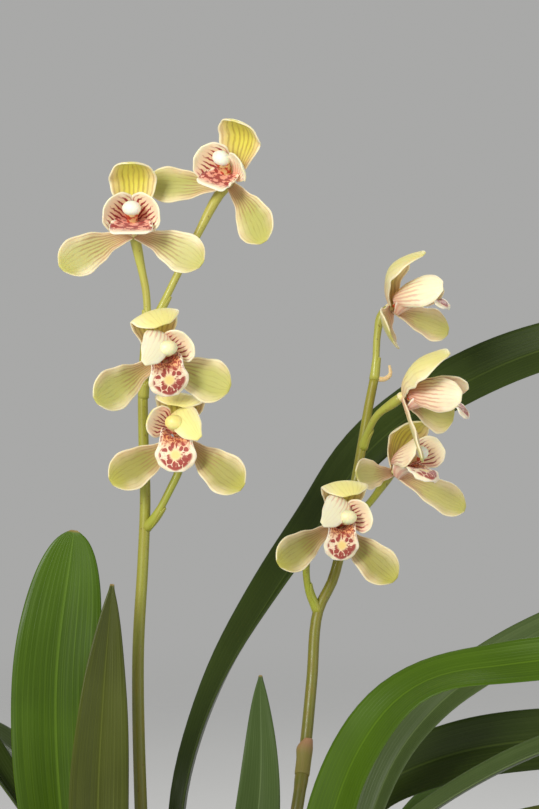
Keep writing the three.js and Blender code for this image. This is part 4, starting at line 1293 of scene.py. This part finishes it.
LIP_TROUGH = dict(
    start=(0, -2.3, 3.2), length=12.4, lean=[(0, 68), (0.5, 64), (0.84, 66), (0.94, 60), (1, 20)],
    half=[(0, 2.6), (0.2, 4.8), (0.5, 5.8), (0.8, 6.1), (0.93, 5.7), (1, 4.4)],
    cup=[(0, 0.4), (0.5, 0.2), (1, 0)],
)
LIP_FORWARD = dict(
    length=18.5, lean=[(0, 110), (0.35, 104), (0.7, 86), (1, 20)],
    cup=[(0, 0.6), (0.2, 0.85), (0.45, 0.45), (0.7, 0.1), (1, -0.2)],
)

# %% [markdown]
# Each spike carries four blooms. A bloom's place and aim come from the photograph: `yaw` turns it
# to the viewer's right, `pitch` tips its face up, and `roll` leans its top to the right. `column`
# is how far the column rises and turns aside, in degrees. `outer` names the finish on the outside
# of its petals where it isn't the usual one, and `plain` a petal that wears it on both sides.

# %% Blooms and spikes
SPIKES = {
    "left": dict(
        axis=[(-18, -3, 133), (-19, -3, 165), (-21.5, -2.5, 215), (-22.7, -2, 266.7),
            (-21.3, -2, 294.6), (-20.7, -2, 311.3), (-21.2, -2, 329.2), (-21.3, -2, 344.6),
            (-20.5, -1, 357.4)],
        sheaths=[(0.02, 0.17), (0.2, 0.33)],
        bract=[(-21, -1.5, 343.6), (-22.6, -1, 344.4), (-23.8, -0.6, 346.4), (-23.4, -0.6, 348.6)],
        blooms={
            "bloom_left_1": dict(
                at=(-23.8, -5, 385.6), yaw=0, pitch=4, roll=0,
                sepals="sepal_pale", cap="white", column=(46, 0),
                stalk=[(-20.5, -1, 355), (-20.2, -1, 364.4), (-20.6, -1, 370), (-22, -1.5, 377),
                    (-23, -2.5, 382)],
                dorsal=dict(lean=[(0, -14), (0.4, 6), (0.75, 64), (1, 112)], length=25.4, wide=0.93),
                left=dict(turn=199, sweep=22),
                right=dict(turn=-16, sweep=-22, length=22.4),
                petal_left=dict(BROAD, turn=148, start=(-0.9, -2.7, 3)),
                petal_right=dict(BROAD, turn=32, start=(0.9, -2.7, 3)),
                lip=LIP_TROUGH,
            ),
            "bloom_left_2": dict(
                at=(3.2, -4, 399.5), yaw=-24, pitch=0, roll=27,
                sepals="sepal_green", cap="white", column=(50, -14), plain="petal_right",
                stalk=[(-20.4, -1, 354), (-18.9, 0, 359.4), (-13.3, 1, 371.5), (-6.3, 1, 385.5),
                    (0, 0, 397)],
                dorsal=dict(lean=[(0, -16), (0.4, 8), (0.75, 66), (1, 104)], turn=97, length=24,
                    wide=0.95),
                left=dict(turn=211, sweep=-10, wide=0.88),
                right=dict(turn=-14, sweep=-22, length=22.8),
                petal_left=dict(BROAD, turn=168, length=11.6, start=(-0.9, -2.7, 3.2)),
                petal_right=dict(lean=[(0, 34), (0.5, 58), (1, 74)], turn=62, length=13, wide=0.85,
                    start=(2.2, -2.7, 2)),
                lip=dict(LIP_TROUGH, wide=0.8, turn=-84),
            ),
            "bloom_left_3": dict(
                at=(-16.8, -14, 350.2), yaw=18, pitch=0, roll=-8,
                sepals="sepal_green", cap="cream", column=(28, 4),
                stalk=[(-21.2, -2, 340), (-20.6, -4, 345.5), (-18.6, -9, 349.2)],
                dorsal=dict(FOLDED_HOOD, turn=90, sweep=12),
                left=dict(turn=202, length=23),
                right=dict(turn=-31, length=20.8, wide=1.08),
                petal_left=dict(FOLDED, turn=78, sweep=-46, start=(-1.2, -2.7, 4)),
                petal_right=dict(turn=34, length=11.2, start=(0.9, -2.7, 0.8)),
            ),
            "bloom_left_4": dict(
                at=(-10.4, -8, 328.2), yaw=-6, pitch=6, roll=1,
                sepals="sepal_olive", cap="yellow", column=(34, -4), outer="hood_outside",
                stalk=[(-20.5, -2, 303.5), (-17.6, -4.5, 307), (-13.7, -5.5, 314.2), (-11, -5, 320.3),
                    (-10.5, -6, 326)],
                dorsal=dict(FOLDED_HOOD, turn=92, sweep=-10, length=20.6),
                left=dict(turn=215, length=22.6),
                right=dict(turn=-36, length=23.5),
                petal_left=dict(turn=156, length=11.4, start=(-0.9, -2.7, 2.4), wide=0.88),
                petal_right=dict(FOLDED, turn=108, sweep=30, start=(1.6, -2.7, 4.2)),
                lip=dict(start=(0, -2, -1.6), length=16),
            ),
        },
    ),
    "right": dict(
        axis=[(8, 8, 133), (11.5, 11, 165), (17, 16, 197), (21.9, 20, 221), (24.4, 28, 237),
            (26.5, 34, 256.7), (28.4, 40, 276.2), (33, 42, 285.9), (36.6, 44, 300.4),
            (40.3, 46, 317.4), (41.8, 46, 325.8), (43.6, 46, 336.3), (45.7, 46, 346.9)],
        sheaths=[(0.02, 0.16), (0.23, 0.4), (0.45, 0.5)],
        bract=[(45.3, 46, 346), (48.4, 46, 345.6), (50.3, 46, 347), (50, 46, 349.8)],
        blooms={
            "bloom_right_1": dict(
                at=(50, 46, 367), yaw=60, pitch=7, roll=0,
                sepals="sepal_rosy", cap="white", column=(40, 0),
                stalk=[(45.5, 46, 345.5), (46, 46, 352), (46.4, 46, 359), (47.6, 46, 364.5)],
                dorsal=dict(lean=[(0, -6), (0.35, 26), (0.7, 78), (1, 102)], turn=112, length=25.6,
                    wide=1.1),
                left=dict(turn=218, lean=[(0, -4), (1, 44)], length=17, wide=1.25),
                right=dict(turn=-32, lean=[(0, 30), (1, 46)], length=19.5),
                petal_left=dict(SIDEWAYS, turn=165, start=(-2.2, -2.5, 2.4), length=19.5, wide=1.15),
                petal_right=dict(SIDEWAYS, turn=20, start=(2.2, -2.5, 2.8), length=14.4),
                lip=LIP_FORWARD,
            ),
            "bloom_right_2": dict(
                at=(52.8, 32, 340.2), yaw=70, pitch=-6, roll=0,
                sepals="sepal_rosy", cap="white", column=(30, 0), outer="petal_rosy",
                stalk=[(42, 46, 325), (43.2, 43.5, 329), (46, 38, 334.8), (50.7, 33.4, 338.6)],
                dorsal=dict(lean=[(0, -4), (0.35, 30), (0.7, 66), (1, 92)], turn=118, length=24,
                    wide=1.2),
                left=dict(turn=238, lean=[(0, 28), (1, 30)], wide=0.75),
                right=dict(turn=-20, lean=[(0, 34), (1, 58)], length=18, wide=1.2),
                petal_left=dict(SIDEWAYS, turn=172, start=(-2.2, -2.5, 1.6), wide=1.2),
                petal_right=dict(SIDEWAYS, turn=40, start=(1.6, -2.5, 3.2), length=17),
                lip=dict(LIP_FORWARD, length=20.5, start=(0, -2.3, -3.6)),
            ),
            "bloom_right_3": dict(
                at=(51.4, 56, 317.4), yaw=40, pitch=14, roll=4,
                sepals="sepal_rosy", cap="white", column=(36, 30), outer="petal_rosy",
                stalk=[(36.8, 44, 301), (41, 47.5, 305), (45.5, 52, 309.6), (49.4, 55.4, 314.8)],
                dorsal=dict(lean=[(0, 0), (0.35, 35), (0.7, 80), (1, 108)], length=23),
                left=dict(turn=189, wide=0.85),
                right=dict(turn=-31, length=25),
                petal_left=dict(lean=[(0, 60), (0.5, 84), (1, 98)], turn=150, length=14,
                    start=(-2.2, -2.7, 2.8)),
                petal_right=dict(turn=36, length=13, start=(3.6, -2.7, 1.6)),
                lip=dict(lean=[(0, 106), (0.35, 94), (0.7, 60), (1, 10)], length=17),
            ),
            "bloom_right_4": dict(
                at=(32.8, 30, 302.6), yaw=14, pitch=2, roll=3,
                sepals="sepal_olive", cap="cream", column=(25, 8),
                stalk=[(28.5, 40, 276), (25.6, 38.5, 283), (24.9, 36.5, 290.5), (26.3, 34.5, 297),
                    (30.5, 32, 301.4)],
                dorsal=dict(FOLDED_HOOD, turn=76, sweep=28, length=21.8),
                left=dict(turn=213, length=22.4, wide=0.95),
                right=dict(turn=-42, length=23.6),
                petal_left=dict(FOLDED, turn=80, sweep=-46, start=(-1, -2.7, 4.4)),
                petal_right=dict(turn=26, length=12, start=(0.9, -2.7, 1)),
                lip=dict(wide=0.92),
            ),
        },
    ),
}


def bloom_frame(at, yaw, pitch, roll):
    """The matrix from a bloom's own frame to the plant's."""
    return (
        Matrix.Translation(at)
        @ Matrix.Rotation(math.radians(yaw), 4, "Z")
        @ Matrix.Rotation(math.radians(-pitch), 4, "X")
        @ Matrix.Rotation(math.radians(roll), 4, "Y")
    )


def organ_stations(shape, to_plant, rows):
    """The stations of a sepal, petal or lip, from its shape in the bloom's own frame."""
    forward = Vector((0, -1, 0))
    spin = to_plant.to_3x3()

    def outward(t):
        angle = math.radians(shape["turn"] + shape["sweep"] * t)
        return Vector((math.cos(angle), 0, math.sin(angle)))

    def ahead(t):
        lean = math.radians(station(shape["lean"], t))
        return outward(t) * math.cos(lean) + forward * math.sin(lean)

    fine = 6
    centre = Vector(shape["start"])
    stations = []
    for i in range(rows + 1):
        for k in range(fine if i else 0):
            centre = centre + ahead((i - 1 + (k + 0.5) / fine) / rows) * (shape["length"] / rows / fine)
        t = i / rows
        half = station(shape["half"], t) * shape.get("wide", 1)
        across = spin @ outward(t).cross(forward)
        rise = half * station(shape["cup"], t)
        stations.append(Station(to_plant @ centre, across, spin @ ahead(t), half, rise))
    return stations


def margin_wave(seed, amount, beats=3):
    """A gentle wave of a blade's margin, in millimetres."""
    draw = random.Random(seed)
    phase, lean = draw.uniform(0, 6), draw.uniform(-0.3, 0.3)

    def wave(t, v):
        return amount * abs(v) * (math.sin(beats * math.tau * t + phase + 2 * v) + lean) * ease(3 * t)

    return wave


def organ(name, key, bloom, to_plant, grid, thickness, wave, *finishes):
    """One sepal, petal or lip of a bloom, with one finish or an inside and an outside."""
    shape = dict(ORGANS[key], **bloom.get(key, {}))
    rows, columns = grid
    stations = organ_stations(shape, to_plant, rows)
    sides = len(finishes) > 1
    made = blade(f"{name}_{key}", stations, columns, lambda v: (v, v * v), thickness, wave, sides)
    wear(made, *finishes)
    return made


SEPAL_GRID, PETAL_GRID, LIP_GRID = (16, 8), (12, 8), (18, 10)
SEPAL_THICK, PETAL_THICK, LIP_THICK = 0.6, 0.55, 0.6
COLUMN_START = Vector((0, -2.05, 0))
COLUMN_LENGTH = 10.5
COLUMN_GIRTH = [(0, 1.5), (0.5, 1.5), (0.78, 2.2), (0.92, 2.0), (1, 1.2)]
CAP_REACH = 9.2
CAP_SIZE = (2.6, 2.2, 2.1)


def column_place(to_plant, aim, reach):
    """A place along the column, which bends down a little on its way: aim is its rise and turn."""
    rise, aside = math.radians(aim[0] - reach), math.radians(aim[1])
    forward = math.cos(rise)
    ahead = Vector((math.sin(aside) * forward, -math.cos(aside) * forward, math.sin(rise)))
    return to_plant @ (COLUMN_START + ahead * reach)


def column_with_cap(name, to_plant, aim, cap_skin):
    """The column rises over the lip and ends in a broad, pale anther cap."""
    points = [column_place(to_plant, aim, COLUMN_LENGTH * k / 4) for k in range(5)]
    girth = partial(station, COLUMN_GIRTH)
    made = stem(f"{name}_column", Route(points), girth, sides=16, steps=14)
    wear(made, column_skin)
    bpy.ops.object.select_all(action="DESELECT")
    bpy.ops.mesh.primitive_uv_sphere_add(segments=20, ring_count=14, radius=MM)
    cap = bpy.context.object
    open_mesh(cap)
    bpy.ops.mesh.select_all(action="SELECT")
    bpy.ops.transform.resize(value=CAP_SIZE)
    turn(to_plant.to_3x3().to_euler(), (0, 0, 0))
    bpy.ops.transform.translate(value=column_place(to_plant, aim, CAP_REACH) * MM)
    leave_edit_mode()
    pick(cap)
    bpy.ops.object.shade_smooth()
    wear(cap, cap_skin)
    return [made, cap]


def seat(to_plant):
    """The small knob that the sepals share."""
    bpy.ops.object.select_all(action="DESELECT")
    bpy.ops.mesh.primitive_uv_sphere_add(segments=14, ring_count=8, radius=1.5 * MM)
    made = bpy.context.object
    made.location = to_plant.translation * MM
    pick(made)
    bpy.ops.object.shade_smooth()
    wear(made, TEPALS["hood_outside"])
    return made


for spike in SPIKES.values():
    for name, bloom in spike["blooms"].items():
        to_plant = bloom_frame(*(bloom[key] for key in ("at", "yaw", "pitch", "roll")))
        sepals = [seat(to_plant)]
        hood = TEPALS["hood_inside"], TEPALS["hood_outside"]
        flat = (TEPALS[bloom["sepals"]],)
        for key, skins in (("dorsal", hood), ("left", flat), ("right", flat)):
            wave = margin_wave(name + key, 0.22)
            sepals.append(organ(name, key, bloom, to_plant, SEPAL_GRID, SEPAL_THICK, wave, *skins))
        place(join(f"{name}_outer", sepals), f"{name}_sepals")
        inner = column_with_cap(name, to_plant, bloom["column"], CAPS[bloom["cap"]])
        for key in ("petal_left", "petal_right"):
            wave = margin_wave(name + key, 0.15)
            outside = TEPALS[bloom.get("outer", "petal_outside")]
            inside = outside if bloom.get("plain") == key else TEPALS["petal_inside"]
            skins = inside, outside
            inner.append(organ(name, key, bloom, to_plant, PETAL_GRID, PETAL_THICK, wave, *skins))
        place(join(f"{name}_inner", inner), f"{name}_petals")
        wave = margin_wave(name, 0.35, 5)
        spotted = lip_trough if name in ("bloom_left_1", "bloom_left_2") else lip_skin
        skins = spotted, TEPALS["lip_outside"]
        lip = organ(name, "lip", bloom, to_plant, LIP_GRID, LIP_THICK, wave, *skins)
        lip.name = f"{name}_spotted_lip"
        place(lip, f"{name}_lip")

# %% [markdown]
# ## Flower spikes
# A spike is one long tapering stem with a swollen node wherever a sheath leaves it. The lower
# nodes carry papery sheaths wrapped round the stem, pinkish where they have dried. Each bloom
# hangs on a slender stalk with a small bract below it. The stalks are extruded stems, and the
# sheaths and bracts are blades whose cross-section is part of a ring.

# %% Stem finishes
def stem_finish(name, low_green, high_green, flush, reach):
    """A stem that pales with height over reach (from, to) in metres, with a red-brown flush."""
    material = new_finish(name, Roughness=0.42, Coat_Weight=0.05)
    where = object_place(material)
    height = add(material, "ShaderNodeSeparateXYZ", {0: where}).outputs["Z"]
    streaks = noise(material, object_place(material, (1, 1, 0.08)), 900, 3)
    clouds = noise(material, where, 60, 3)
    colour = blend(material, ramp(material, height, *reach), low_green, high_green)
    colour = blend(material, ramp(material, streaks, 0.4, 0.75, 0, 0.45), colour, flush)
    colour = blend(material, ramp(material, clouds, 0.5, 0.75, 0, 0.5), colour, flush)
    flecks = ramp(material, noise(material, where, 1100, 2), 0.66, 0.72, 0, 0.5)
    colour = blend(material, flecks, colour, (0.14, 0.05, 0.02))
    return finish_with(material, colour, ramp(material, streaks, 0.3, 0.8, 0.36, 0.5), streaks, 0.3, 0.15)


left_stem = stem_finish(
    "left_stem", (0.13, 0.14, 0.014), (0.42, 0.42, 0.05), (0.27, 0.21, 0.02), (0.20, 0.38)
)
right_stem = stem_finish(
    "right_stem", (0.12, 0.125, 0.012), (0.30, 0.28, 0.022), (0.22, 0.15, 0.015), (0.20, 0.36)
)
stalk_skin = stem_finish(
    "bloom_stalk", (0.33, 0.36, 0.035), (0.50, 0.48, 0.09), (0.38, 0.30, 0.06), (0.30, 0.40)
)
papery = new_finish("papery_sheath", Roughness=0.6)
_, paper_v, paper_lines = blade_place(papery, (90, 2, 1))
paper_streaks = noise(papery, paper_lines, 1.0, 4)
paper_colour = blend(papery, ramp(papery, paper_v, 0.5, 1.0), (0.20, 0.18, 0.025), (0.40, 0.19, 0.10))
paper_lift = ramp(papery, paper_streaks, 0.35, 0.7, 0, 0.5)
paper_colour = blend(papery, paper_lift, paper_colour, (0.31, 0.22, 0.075))
finish_with(papery, paper_colour, height=paper_streaks, strength=0.5, distance=0.2)

# %% Spikes with their sheaths, bracts and stalks
SCAPE_BASE, SCAPE_TOP = 2.1, 1.35
STALK_GIRTH = [(0, 1.6), (0.14, 1.3), (0.3, 1.05), (0.6, 1.1), (0.9, 1.5), (1, 1.4)]
BRACT_GIRTH = [(0, 0.9), (0.5, 0.75), (1, 0.4)]
SWELLING = 0.35
SHEATH_ROWS = 12


def wrapped(name, path, first, last, radius, wrap, flare, facing, skin):
    """A sheath round a stem: a blade whose section is an arc of the stem's own circle."""
    stations = []
    for i in range(SHEATH_ROWS + 1):
        t = i / SHEATH_ROWS
        ahead = path.ahead(mix(first, last, t))
        across = ahead.cross(facing).normalized()
        up = across.cross(ahead).normalized()
        narrowing = 1 if t < 0.7 else 1 - 0.5 * ease((t - 0.7) / 0.3)
        girth = (radius + flare * ease(1.6 * t - 0.6)) * narrowing
        centre = path.at(mix(first, last, t)) - up * radius
        stations.append(Station(centre, across, ahead, girth, girth))
    made = blade(name, stations, 12, lambda v: (math.sin(wrap * v), 1 - math.cos(wrap * v)), 0.35)
    wear(made, skin)
    return made


for side, spike in SPIKES.items():
    path = Route(spike["axis"])
    nodes = [first for first, last in spike["sheaths"]]

    def axis_radius(t):
        swell = sum(SWELLING * math.exp(-((t - node) ** 2) / 1.5e-4) for node in nodes)
        return mix(SCAPE_BASE, SCAPE_TOP, t) + swell

    skin = left_stem if side == "left" else right_stem
    axis = stem(f"{side}_axis", path, axis_radius, sides=16, steps=70)
    wear(axis, skin)
    stalks = [axis]
    for k, (first, last) in enumerate(spike["sheaths"]):
        facing = Vector((0.5 - 0.6 * k, 1, 0.1))
        radius = mix(SCAPE_BASE, SCAPE_TOP, first) + SWELLING
        papers = dict(radius=radius, wrap=2.7, flare=0.5, facing=facing, skin=papery)
        stalks.append(wrapped(f"sheath_{k}", path, first, last, **papers))
    bract = stem("bract", Route(spike["bract"]), partial(station, BRACT_GIRTH), sides=10, steps=8)
    wear(bract, TEPALS["hood_outside"])
    stalks.append(bract)
    for name, bloom in spike["blooms"].items():
        route = Route([*bloom["stalk"], bloom["at"]])
        pedicel = stem(f"{name}_stalk", route, partial(station, STALK_GIRTH), sides=12, steps=18)
        wear(pedicel, stalk_skin)
        stalks.append(pedicel)
        out = Vector((bloom["at"][0] - bloom["stalk"][0][0], -1, 0))
        green = dict(radius=1.35, wrap=1.2, flare=0.15, facing=-out, skin=stalk_skin)
        stalks.append(wrapped(f"{name}_bract", route, 0.02, 0.3, **green))
    place(join(f"flower_stem_{side}", stalks), f"scape_{side}")

# %% [markdown]
# ## Last checks
# The number of dressed nodes is printed beside the number of nodes in the imported model.

# %% Count of dressed nodes
print("nodes dressed:", len(dressed), "of", len(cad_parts))
